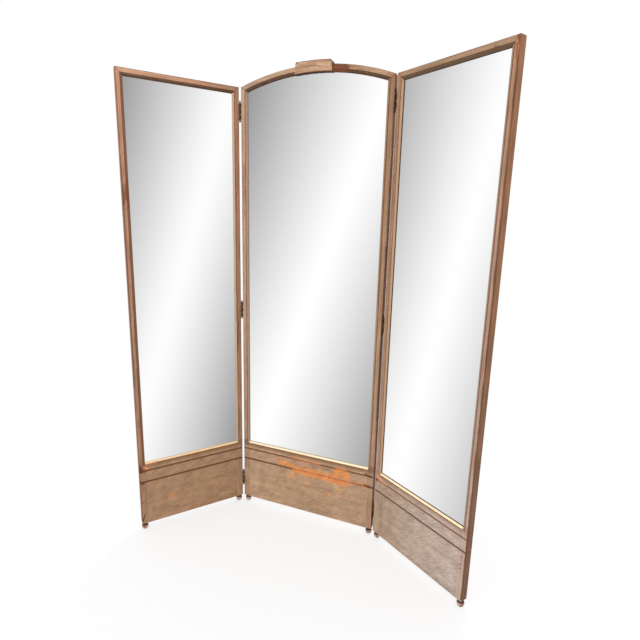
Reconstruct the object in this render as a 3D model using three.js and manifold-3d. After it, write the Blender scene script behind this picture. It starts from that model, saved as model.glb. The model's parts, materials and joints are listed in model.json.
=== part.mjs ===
// Three panel floor mirror: a centre panel with an arched top rail and a crest block, and a wing
// hinged to each side of it, all standing on turned feet. Millimetres, +Z up.
//
// Each panel is drawn in its own frame: X runs across it from its left edge as seen from the
// front, Y runs back from its front face, and Z runs up from the underside of its stiles.
import * as THREE from 'three';
import { mergeVertices } from 'three/addons/utils/BufferGeometryUtils.js';
import Module from 'manifold-3d';

const wasm = await Module();
wasm.setup();

// ---- Driving dimensions ---------------------------------------------------------------------

// Panels
const centreWidth = 621.7;
const wingWidth = 454.5;
const stileHeight = 1800;
const archRise = 55.5; // crown of the arched rail above the top corners of the stiles
const frameDepth = 30;
const hingeStileWidth = 28;
const outerStileWidth = 24;
const topRailWidth = 28;
const outerArris = 4; // rounding of the long front edges that stand free
const hingeArris = 2.5; // rounding of the long front edges beside a hinge
const joinGap = 0.3; // between two pieces that are joined

// Moulding round the mirror: a quirk, a bevel down to the lip, and the rebate behind the lip
const quirkWidth = 2.5;
const quirkDepth = 1.5;
const quirkLand = 0.5; // flat left between the quirk and the bevel
const bevelWidth = 7;
const bevelDrop = 4.5;
const lipDepth = 7.5;
const rebateWidth = 9.5;

// Boards below the mirror
const apronHeight = 194.5;
const middleBoardHeight = 50;
const lowerRailHeight = 36.5;
const boardThickness = 18;
const grooveWidth = 4;
const grooveDepth = 2.5;
const tongueLength = 6;
const tongueThickness = 7;
const tongueSetback = 5.5; // from the front face of the boards
const tongueStop = 4; // from the bottom of the rebate down to the top of the tongues
const battenWidth = 60;
const battenFoot = 20; // underside of the stiles to the foot of the batten

// Mirror plates, packing and back panels
const glassThickness = 4;
const glassPlay = 0.5; // all round, inside the rebate
const packingWidth = 15;
const backThickness = 4;
const backMargin = 7; // edge of the panel to the edge of the recess for the back

// Crest block
const crestBottomHalf = 76;
const crestTopHalf = 71.5;
const crestRise = 13; // above the crown of the arched rail
const crestLap = 27; // down over the face of the arched rail
const crestProud = 5;
const crestChamfer = 3;

// Hinges
const hingeHeight = 63.5;
const hingeEndDistance = 92; // end of the stile to the middle of the hinge
const hingeGap = 7; // between the edges of two stiles that stand in line
const axisProud = 1; // hinge axis in front of the front faces
const knuckleCount = 5;
const knuckleGap = 0.3;
const barrelRadius = 4;
const leafThickness = 1.8;
const leafReach = 22; // from the hinge axis to the back edge of the leaf
const leafNotch = 0.5; // beyond the barrel, where the other leaf's knuckles turn
const pinRadius = 2.2;
const pinPlay = 0.3;
const finialRadius = 3.8;
const finialNeck = 1.6; // radius where the ball stands on its collar
const collarRadius = 3.2;
const collarHeight = 1.4;
const screwSpacing = 22;
const screwStagger = 3;
const screwHoleRadius = 2;
const countersinkRadius = 3.4;
const countersinkDepth = 1.2;

// Feet
const footHeight = 30;
const footRadius = 13.4;
const footSole = 7;
const footNeck = 8;
const footNeckDrop = 5;
const footShoulder = 10.5;
const footShoulderDrop = 2;
const spigotRadius = 4;
const spigotLength = 14;

// How far each wing is folded forward from a straight line with the centre panel
const leftFold = THREE.MathUtils.degToRad(52.1);
const rightFold = THREE.MathUtils.degToRad(32.4);

// Roundness of the turned and curved pieces
const archStep = THREE.MathUtils.degToRad(2);
const arrisSteps = 4;
const barrelSides = 14;
const pinSides = 10;
const holeSides = 8;
const footSides = 20;
const ballSteps = 7;
const finialSteps = 4;

// ---- Sizes that follow ----------------------------------------------------------------------

const lowerGroove = apronHeight;
const upperGroove = lowerGroove + middleBoardHeight;
const sightBottom = upperGroove + lowerRailHeight; // lower edge of the mirror that shows
const archRadius = ((centreWidth / 2) ** 2 + archRise ** 2) / (2 * archRise);
const archCentre = stileHeight + archRise - archRadius;
const recessFloor = frameDepth - backThickness - joinGap;
const tongueTop = sightBottom - rebateWidth - tongueStop;
const leafInner = barrelRadius - leafThickness;
const mortiseDepth = barrelRadius + joinGap - hingeGap / 2;
const mortiseBack = leafReach - axisProud + joinGap;
const hingeHeights = {
  bottom: hingeEndDistance,
  middle: stileHeight / 2,
  top: stileHeight - hingeEndDistance,
};
const overshoot = 1; // how far a cutter runs past the face it cuts
const reach = 40; // how far a trimming shape runs past what it trims

const hingeStile = { width: hingeStileWidth, arris: hingeArris, hinged: true };
const outerStile = { width: outerStileWidth, arris: outerArris, hinged: false };
const panels = {
  leftWing: { width: wingWidth, left: outerStile, right: hingeStile, arched: false },
  centre: { width: centreWidth, left: hingeStile, right: hingeStile, arched: true },
  rightWing: { width: wingWidth, left: hingeStile, right: outerStile, arched: false },
};

// ---- Finishes -------------------------------------------------------------------------------

function limedWood() {
  return new THREE.MeshStandardMaterial({ color: 0xa98a70, roughness: 0.62, metalness: 0 });
}

function mirrorPlate() {
  return new THREE.MeshStandardMaterial({ color: 0xe4e6e6, roughness: 0.02, metalness: 1 });
}

function backPly() {
  return new THREE.MeshStandardMaterial({ color: 0x8a6a4c, roughness: 0.8, metalness: 0 });
}

function softwood() {
  return new THREE.MeshStandardMaterial({ color: 0xc9a878, roughness: 0.75, metalness: 0 });
}

function darkBrass() {
  return new THREE.MeshStandardMaterial({ color: 0x3a2a1a, roughness: 0.4, metalness: 0.9 });
}

// ---- Solids ---------------------------------------------------------------------------------

const point = (x, y) => new THREE.Vector2(x, y);

// A closed geometry made ready for joining and cutting.
function toSolid(geometry) {
  const bare = geometry.clone();
  bare.deleteAttribute('normal');
  bare.deleteAttribute('uv');
  const merged = mergeVertices(bare, 1e-4);
  return new wasm.Manifold(new wasm.Mesh({
    numProp: 3,
    vertProperties: Float32Array.from(merged.attributes.position.array),
    triVerts: Uint32Array.from(merged.index.array),
  }));
}

function toGeometry(solid) {
  const mesh = solid.getMesh();
  const geometry = new THREE.BufferGeometry();
  geometry.setAttribute('position', new THREE.BufferAttribute(mesh.vertProperties, mesh.numProp));
  geometry.setIndex(new THREE.BufferAttribute(mesh.triVerts, 1));
  geometry.computeVertexNormals();
  return geometry;
}

const xAxis = new THREE.Vector3(1, 0, 0);
const yAxis = new THREE.Vector3(0, 1, 0);
const zAxis = new THREE.Vector3(0, 0, 1);

// An outline swept straight from one place to another. Along X it lies in Y and Z, along Y in
// X and Z, and along Z in X and Y.
function sweep(axis, outline, from, to) {
  const geometry = new THREE.ExtrudeGeometry(new THREE.Shape(outline), {
    depth: to - from, bevelEnabled: false,
  });
  const turn = new THREE.Matrix4();
  if (axis === 'x') {
    turn.makeBasis(yAxis, zAxis, xAxis).setPosition(from, 0, 0);
  } else if (axis === 'y') {
    turn.makeBasis(xAxis, zAxis, yAxis.clone().negate()).setPosition(0, to, 0);
  } else {
    turn.setPosition(0, 0, from);
  }
  return toSolid(geometry.applyMatrix4(turn));
}

function block(low, high) {
  const size = high.map((value, index) => value - low[index]);
  const geometry = new THREE.BoxGeometry(...size);
  geometry.translate(low[0] + size[0] / 2, low[1] + size[1] / 2, low[2] + size[2] / 2);
  return toSolid(geometry);
}

// A solid that passes through outlines in X and Z, each at its own depth. All the outlines run
// anticlockwise as seen from the front, with the same number of points in each.
function loft(sections) {
  const count = sections[0].outline.length;
  const vertices = sections.flatMap(({ outline, depth }) => outline.flatMap((p) => [p.x, depth, p.y]));
  const triangles = [];
  for (let section = 0; section + 1 < sections.length; section += 1) {
    for (let i = 0; i < count; i += 1) {
      const front = section * count + i;
      const frontNext = section * count + ((i + 1) % count);
      const back = front + count;
      const backNext = frontNext + count;
      triangles.push(front, backNext, frontNext, front, back, backNext);
    }
  }
  const last = (sections.length - 1) * count;
  for (const [a, b, c] of THREE.ShapeUtils.triangulateShape(sections[0].outline, [])) {
    triangles.push(a, b, c);
  }
  for (const [a, b, c] of THREE.ShapeUtils.triangulateShape(sections.at(-1).outline, [])) {
    triangles.push(last + a, last + c, last + b);
  }
  const geometry = new THREE.BufferGeometry();
  geometry.setAttribute('position', new THREE.Float32BufferAttribute(vertices, 3));
  geometry.setIndex(triangles);
  return toSolid(geometry);
}

// A turned solid on the Z axis, from a profile of radii and heights.
function turned(profile, sides) {
  return toSolid(new THREE.LatheGeometry(profile, sides).rotateX(Math.PI / 2));
}

function rod(radius, from, to, sides) {
  return turned([point(0, from), point(radius, from), point(radius, to), point(0, to)], sides);
}

// ---- Outlines of a panel --------------------------------------------------------------------

// Height of the top edge, moved inwards by an inset, over a place across the panel.
function topHeight(panel, inset, x) {
  if (!panel.arched) {
    return stileHeight - inset;
  }
  return archCentre + Math.sqrt((archRadius - inset) ** 2 - (x - panel.width / 2) ** 2);
}

// The same top edge as points from right to left.
function topEdge(panel, inset, right, left) {
  if (!panel.arched) {
    return [point(right, stileHeight - inset), point(left, stileHeight - inset)];
  }
  const middle = panel.width / 2;
  const radius = archRadius - inset;
  const start = Math.asin((right - middle) / radius);
  const end = Math.asin((left - middle) / radius);
  const steps = Math.ceil((2 * Math.asin(middle / archRadius)) / archStep);
  return Array.from({ length: steps + 1 }, (_, i) => {
    const angle = THREE.MathUtils.lerp(start, end, i / steps);
    return point(middle + radius * Math.sin(angle), archCentre + radius * Math.cos(angle));
  });
}

function panelOutline(panel, inset) {
  const right = panel.width - inset;
  return [point(inset, inset), point(right, inset), ...topEdge(panel, inset, right, inset)];
}

// The edge of the lip round the mirror, grown outwards.
function openingOutline(panel, grow) {
  const left = panel.left.width - grow;
  const right = panel.width - panel.right.width + grow;
  const bottom = sightBottom - grow;
  const top = topEdge(panel, topRailWidth - grow, right, left);
  return [point(left, bottom), point(right, bottom), ...top];
}

// Where a stile is: its outer edge, the direction from there into the panel, and its inner face.
function stilePlace(panel, side) {
  const edge = side === 'left' ? 0 : panel.width;
  const inward = side === 'left' ? 1 : -1;
  return { edge, inward, face: edge + inward * panel[side].width };
}

// The mitre between a stile and the top rail: its outer end, its inner end, and how far the
// rail's side of it steps along the rail to leave the join's gap.
function mitre(panel, side) {
  const { edge, inward, face } = stilePlace(panel, side);
  const outer = point(edge, stileHeight);
  const inner = point(face, topHeight(panel, topRailWidth, face));
  const length = outer.distanceTo(inner);
  const step = (inward * joinGap * length) / Math.abs(inner.y - outer.y);
  return { outer, inner, step };
}

// A quarter round on a corner of a bar's section, as points. It turns the other way for an
// inward direction of 1, where the bar lies on the far side of the corner.
function arris(centreX, centreY, radius, startAngle, inward = -1) {
  return Array.from({ length: arrisSteps + 1 }, (_, i) => {
    const angle = startAngle + (i / arrisSteps) * (Math.PI / 2);
    return point(centreX - inward * radius * Math.cos(angle), centreY + radius * Math.sin(angle));
  });
}

// ---- Cutters --------------------------------------------------------------------------------

// Everything that the moulding and the rebate take out of the bars round the mirror.
function openingCutter(panel) {
  const at = (grow, depth) => ({ outline: openingOutline(panel, grow), depth });
  const bevelSlope = bevelWidth / bevelDrop;
  const quirkMiddle = bevelWidth + quirkLand + quirkWidth / 2;
  const quirkSpread = (quirkWidth / 2) * (1 + overshoot / quirkDepth);
  const bevel = loft([at(bevelWidth + bevelSlope * overshoot, -overshoot), at(0, bevelDrop)]);
  const sight = loft([at(0, bevelDrop - overshoot), at(0, lipDepth + overshoot)]);
  const rebate = loft([at(rebateWidth, lipDepth), at(rebateWidth, frameDepth + overshoot)]);
  const quirk = loft([at(quirkMiddle + quirkSpread, -overshoot), at(quirkMiddle, quirkDepth)])
    .subtract(loft([at(quirkMiddle - quirkSpread, -overshoot), at(quirkMiddle, quirkDepth)]));
  return bevel.add(sight).add(rebate).add(quirk);
}

function backRecess(panel) {
  const outline = panelOutline(panel, backMargin);
  return loft([{ outline, depth: recessFloor }, { outline, depth: frameDepth + overshoot }]);
}

// A groove's triangle, open at the face: distance in from the face, and height.
function grooveSection(face, inward, height) {
  const spread = (grooveWidth / 2) * (1 + overshoot / grooveDepth);
  return [
    point(face - inward * overshoot, height - spread),
    point(face + inward * grooveDepth, height),
    point(face - inward * overshoot, height + spread),
  ];
}

// The two grooves across the face of a panel.
function faceGrooves(panel) {
  const [lower, upper] = [lowerGroove, upperGroove].map((height) => sweep(
    'x', grooveSection(0, 1, height), -overshoot, panel.width + overshoot,
  ));
  return lower.add(upper);
}

// The same grooves carried on round the outer edge of a wing.
function edgeGrooves(edge, inward) {
  const [lower, upper] = [lowerGroove, upperGroove].map((height) => sweep(
    'y', grooveSection(edge, inward, height), -overshoot, frameDepth + overshoot,
  ));
  return lower.add(upper);
}

// The groove in a stile that takes the tongues of the boards.
function tongueGroove(face, outward) {
  const far = face + outward * (tongueLength + joinGap);
  const near = face - outward * overshoot;
  const low = [Math.min(far, near), tongueSetback - joinGap, -overshoot];
  const back = tongueSetback + tongueThickness + joinGap;
  return block(low, [Math.max(far, near), back, tongueTop + joinGap]);
}

// The three shallow mortises in a stile's edge that take the hinge leaves.
function hingeMortises(edge, inward) {
  const half = hingeHeight / 2 + joinGap;
  const near = edge - inward * overshoot;
  const far = edge + inward * mortiseDepth;
  const mortises = Object.values(hingeHeights).map((height) => block(
    [Math.min(near, far), -overshoot, height - half],
    [Math.max(near, far), mortiseBack, height + half],
  ));
  return mortises.reduce((all, mortise) => all.add(mortise));
}

function spigotHole(x) {
  return rod(spigotRadius + joinGap, -overshoot, spigotLength + joinGap, footSides)
    .translate([x, frameDepth / 2, 0]);
}

// ---- Pieces of a panel ----------------------------------------------------------------------

function makeStile(panel, side) {
  const { edge, inward, face } = stilePlace(panel, side);
  const { width, arris: radius, hinged } = panel[side];
  const { outer, inner } = mitre(panel, side);
  const front = [point(edge, 0), point(face, 0), inner, outer];
  const rounded = arris(edge + inward * radius, radius, radius, -Math.PI / 2, inward);
  const section = [
    ...rounded, point(edge, frameDepth), point(face, frameDepth), point(face, 0),
  ];
  const stile = sweep('y', front, -overshoot, frameDepth + overshoot)
    .intersect(sweep('z', section, 0, stileHeight))
    .subtract(openingCutter(panel))
    .subtract(backRecess(panel))
    .subtract(faceGrooves(panel))
    .subtract(tongueGroove(face, -inward))
    .subtract(spigotHole(edge + (inward * width) / 2));
  return stile.subtract(hinged ? hingeMortises(edge, inward) : edgeGrooves(edge, inward));
}

// What a top rail keeps between its two mitres, as an outline seen from the front.
function railTrim(panel) {
  const [left, right] = ['left', 'right'].map((side) => {
    const { outer, inner, step } = mitre(panel, side);
    const along = outer.clone().sub(inner).setLength(reach);
    return {
      low: point(inner.x + step - along.x, inner.y - along.y),
      high: point(outer.x + step + along.x, outer.y + along.y),
    };
  });
  const sky = stileHeight + archRise + reach;
  const outline = [
    left.low, right.low, right.high,
    point(right.high.x, sky), point(left.high.x, sky), left.high,
  ];
  return sweep('y', outline, -overshoot, frameDepth + overshoot);
}

// The straight top rail of a wing, mitred into the stiles at both ends.
function makeTopRail(panel) {
  const bottom = stileHeight - topRailWidth - overshoot;
  const section = [
    point(0, bottom),
    point(frameDepth, bottom),
    point(frameDepth, stileHeight),
    ...arris(outerArris, stileHeight - outerArris, outerArris, Math.PI / 2),
  ];
  return sweep('x', section, 0, panel.width)
    .intersect(railTrim(panel))
    .subtract(openingCutter(panel))
    .subtract(backRecess(panel));
}

// The arched top rail of the centre panel: a full ring of the rail's section, turned about the
// centre of the arch, of which the stretch between the two mitres is kept.
function makeArchedRail(panel) {
  const inside = archRadius - topRailWidth - overshoot;
  const section = [
    point(inside, 0),
    ...arris(archRadius - outerArris, outerArris, outerArris, -Math.PI / 2),
    point(archRadius, frameDepth),
    point(inside, frameDepth),
    point(inside, 0),
  ];
  const ring = new THREE.LatheGeometry(section, Math.round((2 * Math.PI) / archStep));
  return toSolid(ring)
    .translate([panel.width / 2, 0, archCentre])
    .intersect(railTrim(panel))
    .subtract(openingCutter(panel))
    .subtract(backRecess(panel));
}

// A board between the stiles with a tongue on each end.
function makeBoard(panel, bottom, top, boardTongueTop) {
  const left = panel.left.width + joinGap;
  const right = panel.width - panel.right.width - joinGap;
  const tongueBack = tongueSetback + tongueThickness;
  return block([left, 0, bottom], [right, boardThickness, top])
    .add(block(
      [left - tongueLength, tongueSetback, bottom],
      [right + tongueLength, tongueBack, boardTongueTop],
    ))
    .subtract(faceGrooves(panel));
}

function makeApronBoard(panel) {
  const top = lowerGroove - joinGap / 2;
  return makeBoard(panel, 0, top, top);
}

function makeMiddleBoard(panel) {
  const top = upperGroove - joinGap / 2;
  return makeBoard(panel, lowerGroove + joinGap / 2, top, top);
}

function makeLowerRail(panel) {
  return makeBoard(panel, upperGroove + joinGap / 2, sightBottom + overshoot, tongueTop)
    .subtract(openingCutter(panel));
}

// The upright batten that ties the boards together behind.
function makeBatten(panel) {
  const left = (panel.width - battenWidth) / 2;
  return block(
    [left, boardThickness + joinGap, battenFoot],
    [left + battenWidth, recessFloor, tongueTop],
  );
}

function makeMirror(panel) {
  const outline = openingOutline(panel, rebateWidth - glassPlay);
  const front = lipDepth + joinGap;
  return loft([{ outline, depth: front }, { outline, depth: front + glassThickness }]);
}

// A strip in the rebate that holds the glass forward against the lip.
function makePacking(panel, side) {
  const { inward, face } = stilePlace(panel, side);
  const wall = face - inward * (rebateWidth - joinGap);
  const inner = wall + inward * packingWidth;
  const front = lipDepth + joinGap + glassThickness + joinGap;
  const bottom = sightBottom - rebateWidth + joinGap;
  const top = topHeight(panel, topRailWidth - rebateWidth, wall) - joinGap;
  return block(
    [Math.min(wall, inner), front, bottom],
    [Math.max(wall, inner), recessFloor, top],
  );
}

function makeBack(panel) {
  const outline = panelOutline(panel, backMargin + joinGap);
  return loft([{ outline, depth: frameDepth - backThickness }, { outline, depth: frameDepth }]);
}

// The block over the crown of the arch: a plate lapping the face of the rail, and a cap over it.
function makeCrest(panel) {
  const middle = panel.width / 2;
  const arc = (radius, from, to) => {
    const steps = Math.ceil((Math.abs(to - from) / radius) / archStep);
    return Array.from({ length: steps + 1 }, (_, i) => {
      const x = THREE.MathUtils.lerp(from, to, i / steps);
      return point(middle + x, archCentre + Math.sqrt(radius ** 2 - x ** 2));
    });
  };
  const bottomRadius = archRadius - crestLap;
  const topRadius = archRadius + crestRise;
  const cornerHalf = crestTopHalf - crestChamfer;
  const shoulder = archCentre + Math.sqrt(topRadius ** 2 - crestTopHalf ** 2) - crestChamfer;
  const front = [
    ...arc(bottomRadius, -crestBottomHalf, crestBottomHalf),
    point(middle + crestTopHalf, shoulder),
    ...arc(topRadius, cornerHalf, -cornerHalf),
    point(middle - crestTopHalf, shoulder),
  ];
  const seat = [
    ...arc(archRadius + joinGap, crestBottomHalf + reach, -crestBottomHalf - reach),
    point(middle - crestBottomHalf - reach, sightBottom),
    point(middle + crestBottomHalf + reach, sightBottom),
  ];
  return sweep('y', front, -crestProud, frameDepth)
    .subtract(sweep('y', seat, -joinGap, frameDepth + overshoot));
}

// ---- Feet and hinges ------------------------------------------------------------------------

// A turned ball foot under a waisted neck, with a spigot that goes up into the stile.
function makeFoot() {
  const ballTop = -footNeckDrop;
  const ballMiddle = (ballTop - footHeight) / 2;
  const ballHalf = (footHeight - footNeckDrop) / 2;
  const soleAngle = Math.acos(footSole / footRadius);
  const neckAngle = Math.acos(footNeck / footRadius);
  const ball = Array.from({ length: ballSteps + 1 }, (_, i) => {
    const angle = THREE.MathUtils.lerp(-soleAngle, neckAngle, i / ballSteps);
    const squash = angle < 0 ? Math.sin(soleAngle) : Math.sin(neckAngle);
    const height = ballMiddle + (ballHalf * Math.sin(angle)) / squash;
    return point(footRadius * Math.cos(angle), height);
  });
  return turned([
    point(0, -footHeight),
    ...ball,
    point(footShoulder, -footShoulderDrop),
    point(footShoulder, -joinGap),
    point(spigotRadius, -joinGap),
    point(spigotRadius, spigotLength),
    point(0, spigotLength),
  ], footSides);
}

// A hinge leaf about its own axis. It lies on the side of the axis that is given, runs back from
// it, and carries every second knuckle from the first one given.
function makeLeaf(side, firstKnuckle) {
  const half = hingeHeight / 2;
  const plateFront = barrelRadius + leafNotch;
  const [low, high] = [side * leafInner, side * barrelRadius].sort((a, b) => a - b);
  let leaf = block([low, plateFront, -half], [high, leafReach, half]);
  const pitch = hingeHeight / knuckleCount;
  for (let index = firstKnuckle; index < knuckleCount; index += 2) {
    const bottom = index * pitch - half + knuckleGap / 2;
    const top = bottom + pitch - knuckleGap;
    leaf = leaf
      .add(rod(barrelRadius, bottom, top, barrelSides))
      .add(block([low, 0, bottom], [high, plateFront + overshoot, top]));
  }
  leaf = leaf.subtract(rod(pinRadius + pinPlay, -half - overshoot, half + overshoot, barrelSides));
  for (const row of [-1, 0, 1]) {
    const middle = (plateFront + leafReach) / 2 + (row === 0 ? screwStagger : -screwStagger);
    leaf = leaf.subtract(screwHole(side).translate([0, middle, row * screwSpacing]));
  }
  return leaf;
}

// A countersunk hole through a leaf, widest on the face that looks at the other leaf.
function screwHole(side) {
  const slope = (countersinkRadius - screwHoleRadius) / countersinkDepth;
  const hole = turned([
    point(0, leafInner - overshoot),
    point(countersinkRadius + slope * overshoot, leafInner - overshoot),
    point(screwHoleRadius, leafInner + countersinkDepth),
    point(screwHoleRadius, barrelRadius + overshoot),
    point(0, barrelRadius + overshoot),
  ], holeSides);
  return hole.rotate([0, side * 90, 0]);
}

// A hinge pin with a ball finial on a collar at each end.
function makePin() {
  const half = hingeHeight / 2;
  const ballMiddle = half + collarHeight + finialRadius;
  const ballStart = -Math.acos(finialNeck / finialRadius);
  const upper = [
    point(pinRadius, half),
    point(collarRadius, half),
    point(collarRadius, half + collarHeight),
    ...Array.from({ length: finialSteps }, (_, i) => {
      const angle = THREE.MathUtils.lerp(ballStart, Math.PI / 2, i / finialSteps);
      return point(finialRadius * Math.cos(angle), ballMiddle + finialRadius * Math.sin(angle));
    }),
    point(0, ballMiddle + finialRadius),
  ];
  const lower = upper.map((p) => point(p.x, -p.y)).reverse();
  return turned([...lower, ...upper], pinSides);
}

// ---- Assembly -------------------------------------------------------------------------------

function named(name, solid, material) {
  const mesh = new THREE.Mesh(toGeometry(solid), material);
  mesh.name = name;
  return mesh;
}

// The pieces that every panel has. The names of its two sides depend on the panel.
function makePanel(prefix, panel, sideNames) {
  const group = new THREE.Group();
  const add = (name, solid, material) => group.add(named(`${prefix}_${name}`, solid, material));
  for (const side of ['left', 'right']) {
    const sideName = sideNames[side];
    add(`${sideName}_stile`, makeStile(panel, side), limedWood());
    add(`${sideName}_packing_strip`, makePacking(panel, side), softwood());
    const foot = named(`${prefix}_${sideName}_foot`, makeFoot(), limedWood());
    const { edge, face } = stilePlace(panel, side);
    foot.position.set((edge + face) / 2, frameDepth / 2, 0);
    group.add(foot);
  }
  add('lower_rail', makeLowerRail(panel), limedWood());
  add('middle_board', makeMiddleBoard(panel), limedWood());
  add('apron_board', makeApronBoard(panel), limedWood());
  add('board_batten', makeBatten(panel), softwood());
  add('mirror', makeMirror(panel), mirrorPlate());
  add('back_panel', makeBack(panel), backPly());
  if (panel.arched) {
    add('arched_rail', makeArchedRail(panel), limedWood());
    add('crest_block', makeCrest(panel), limedWood());
  } else {
    add('top_rail', makeTopRail(panel), limedWood());
  }
  return group;
}

// One wing with its three hinges. The fixed leaves and the pins stay with the centre panel.
function addWing(assembly, sideName, panel, fold) {
  const outward = sideName === 'left' ? -1 : 1;
  const axisX = outward * (centreWidth / 2 + hingeGap / 2);
  const fixed = new THREE.Group();
  const moving = new THREE.Group();
  fixed.position.set(axisX, -axisProud, 0);
  moving.position.copy(fixed.position);
  moving.rotation.z = -outward * fold;

  const sideNames = outward < 0
    ? { left: 'outer', right: 'hinge' }
    : { left: 'hinge', right: 'outer' };
  const wing = makePanel(`${sideName}_wing`, panel, sideNames);
  const wingLeft = outward < 0 ? -hingeGap / 2 - panel.width : hingeGap / 2;
  wing.position.set(wingLeft, axisProud, 0);
  moving.add(wing);

  for (const [place, height] of Object.entries(hingeHeights)) {
    const hinge = `${sideName}_${place}_hinge`;
    const pieces = [
      [fixed, named(`${hinge}_fixed_leaf`, makeLeaf(-outward, 0), darkBrass())],
      [fixed, named(`${hinge}_pin`, makePin(), darkBrass())],
      [moving, named(`${hinge}_moving_leaf`, makeLeaf(outward, 1), darkBrass())],
    ];
    for (const [carrier, mesh] of pieces) {
      mesh.position.z = height;
      carrier.add(mesh);
    }
  }
  assembly.add(fixed, moving);
}

// The assembly stands on z = 0 with the middle of its footprint at the origin.
const assembly = new THREE.Group();
const centre = makePanel('centre', panels.centre, { left: 'left', right: 'right' });
centre.position.x = -centreWidth / 2;
assembly.add(centre);
addWing(assembly, 'left', panels.leftWing, leftFold);
addWing(assembly, 'right', panels.rightWing, rightFold);
assembly.updateMatrixWorld(true);
const bounds = new THREE.Box3().setFromObject(assembly, true);
const middle = bounds.getCenter(new THREE.Vector3());
assembly.position.set(-middle.x, -middle.y, -bounds.min.z);

export default assembly;
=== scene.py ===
# %% [markdown]
# # A three panel floor mirror
#
# The real object is a folding mirror taller than a person. Three wooden frames stand on turned
# feet, and brass butt hinges join them edge to edge. The wood was painted in a thin beige and
# then rubbed, so brown shows along the edges and in the grooves.
#
# The construction comes in as a frame of solids at their real size. This lesson sets up a camera
# and a studio, gives every solid a finish made of nodes, and models the turned and metal pieces.

# %% Load the frame
import json
from collections import namedtuple
from math import acos, asin, atan2, cos, degrees, pi, radians, sin

import bpy
from mathutils import Matrix, Vector

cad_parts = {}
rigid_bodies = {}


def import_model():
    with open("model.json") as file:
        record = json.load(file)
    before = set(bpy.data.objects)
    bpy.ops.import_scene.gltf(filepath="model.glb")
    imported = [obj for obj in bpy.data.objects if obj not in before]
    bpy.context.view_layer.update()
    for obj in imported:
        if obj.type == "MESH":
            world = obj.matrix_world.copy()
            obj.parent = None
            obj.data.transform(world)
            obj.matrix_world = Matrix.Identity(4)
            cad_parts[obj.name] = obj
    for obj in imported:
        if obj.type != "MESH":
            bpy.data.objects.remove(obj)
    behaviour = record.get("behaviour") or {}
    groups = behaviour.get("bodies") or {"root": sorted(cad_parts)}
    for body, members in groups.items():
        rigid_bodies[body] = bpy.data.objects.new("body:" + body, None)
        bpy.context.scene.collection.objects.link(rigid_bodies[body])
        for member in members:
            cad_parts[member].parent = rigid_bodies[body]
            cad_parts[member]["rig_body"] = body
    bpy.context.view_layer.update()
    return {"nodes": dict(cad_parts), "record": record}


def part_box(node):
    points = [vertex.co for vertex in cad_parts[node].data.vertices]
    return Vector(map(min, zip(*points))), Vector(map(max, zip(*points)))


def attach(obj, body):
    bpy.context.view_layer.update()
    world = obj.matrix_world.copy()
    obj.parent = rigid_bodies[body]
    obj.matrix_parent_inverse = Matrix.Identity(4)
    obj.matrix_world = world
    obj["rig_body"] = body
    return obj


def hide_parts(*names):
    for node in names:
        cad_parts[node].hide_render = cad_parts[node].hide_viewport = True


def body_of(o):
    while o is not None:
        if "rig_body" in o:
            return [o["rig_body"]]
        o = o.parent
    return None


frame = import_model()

BODIES = frame["record"]["behaviour"]["bodies"]
BODY_OF = {node: body for body, nodes in BODIES.items() for node in nodes}
MM = 0.001

# %% [markdown]
# ## The camera
#
# The photographer stood a little to the right of the centre panel, close to the mirror, and held
# the camera at chest height, tipped down. A camera so close needs a wide lens, and the wide lens
# is what makes the near wing look so much taller than the far one. The camera is turned by three
# angles, as a head is: to the left, down, and a slight roll.

# %% Camera
PHOTO_SIZE = 640
SENSOR_WIDTH = 36
FOCAL_PIXELS = 456.1
OPTICAL_AXIS = (317.7, 312.8)
CAMERA_PLACE = Vector((0.6583, -1.5315, 1.3339))
CAMERA_LEFT = radians(21.44)
CAMERA_DOWN = radians(11.87)
CAMERA_ROLL = radians(1.43)

camera_data = bpy.data.cameras.new("photo_camera")
camera_data.sensor_width = SENSOR_WIDTH
camera_data.lens = SENSOR_WIDTH * FOCAL_PIXELS / PHOTO_SIZE
camera_data.shift_x = (PHOTO_SIZE / 2 - OPTICAL_AXIS[0]) / PHOTO_SIZE
camera_data.shift_y = (OPTICAL_AXIS[1] - PHOTO_SIZE / 2) / PHOTO_SIZE
camera = bpy.data.objects.new("photo_camera", camera_data)
bpy.context.scene.collection.objects.link(camera)
camera.matrix_world = (
    Matrix.Translation(CAMERA_PLACE)
    @ Matrix.Rotation(CAMERA_LEFT, 4, "Z")
    @ Matrix.Rotation(pi / 2 - CAMERA_DOWN, 4, "X")
    @ Matrix.Rotation(CAMERA_ROLL, 4, "Z")
)
bpy.context.scene.camera = camera
bpy.context.scene.view_settings.view_transform = "Standard"
print("lens:", round(camera_data.lens, 2), "mm")

# %% [markdown]
# ## Nodes, one call each
#
# Every finish below is a tree of small nodes. A `Recipe` holds one such tree, and each of its
# methods adds a node or two and gives back the output, so that a finish reads like a sum on paper.
# Colours are written as an eye picks them, in steps of 0 to 255, and a shader works in linear
# light, so the recipe turns one into the other.

# %% A recipe for node trees
def as_light(colour):
    """A colour in steps of 11 to 255, as linear light."""
    shares = [value / 255 for value in colour]
    return tuple(((share + 0.055) / 1.055) ** 2.4 for share in shares)


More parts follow.
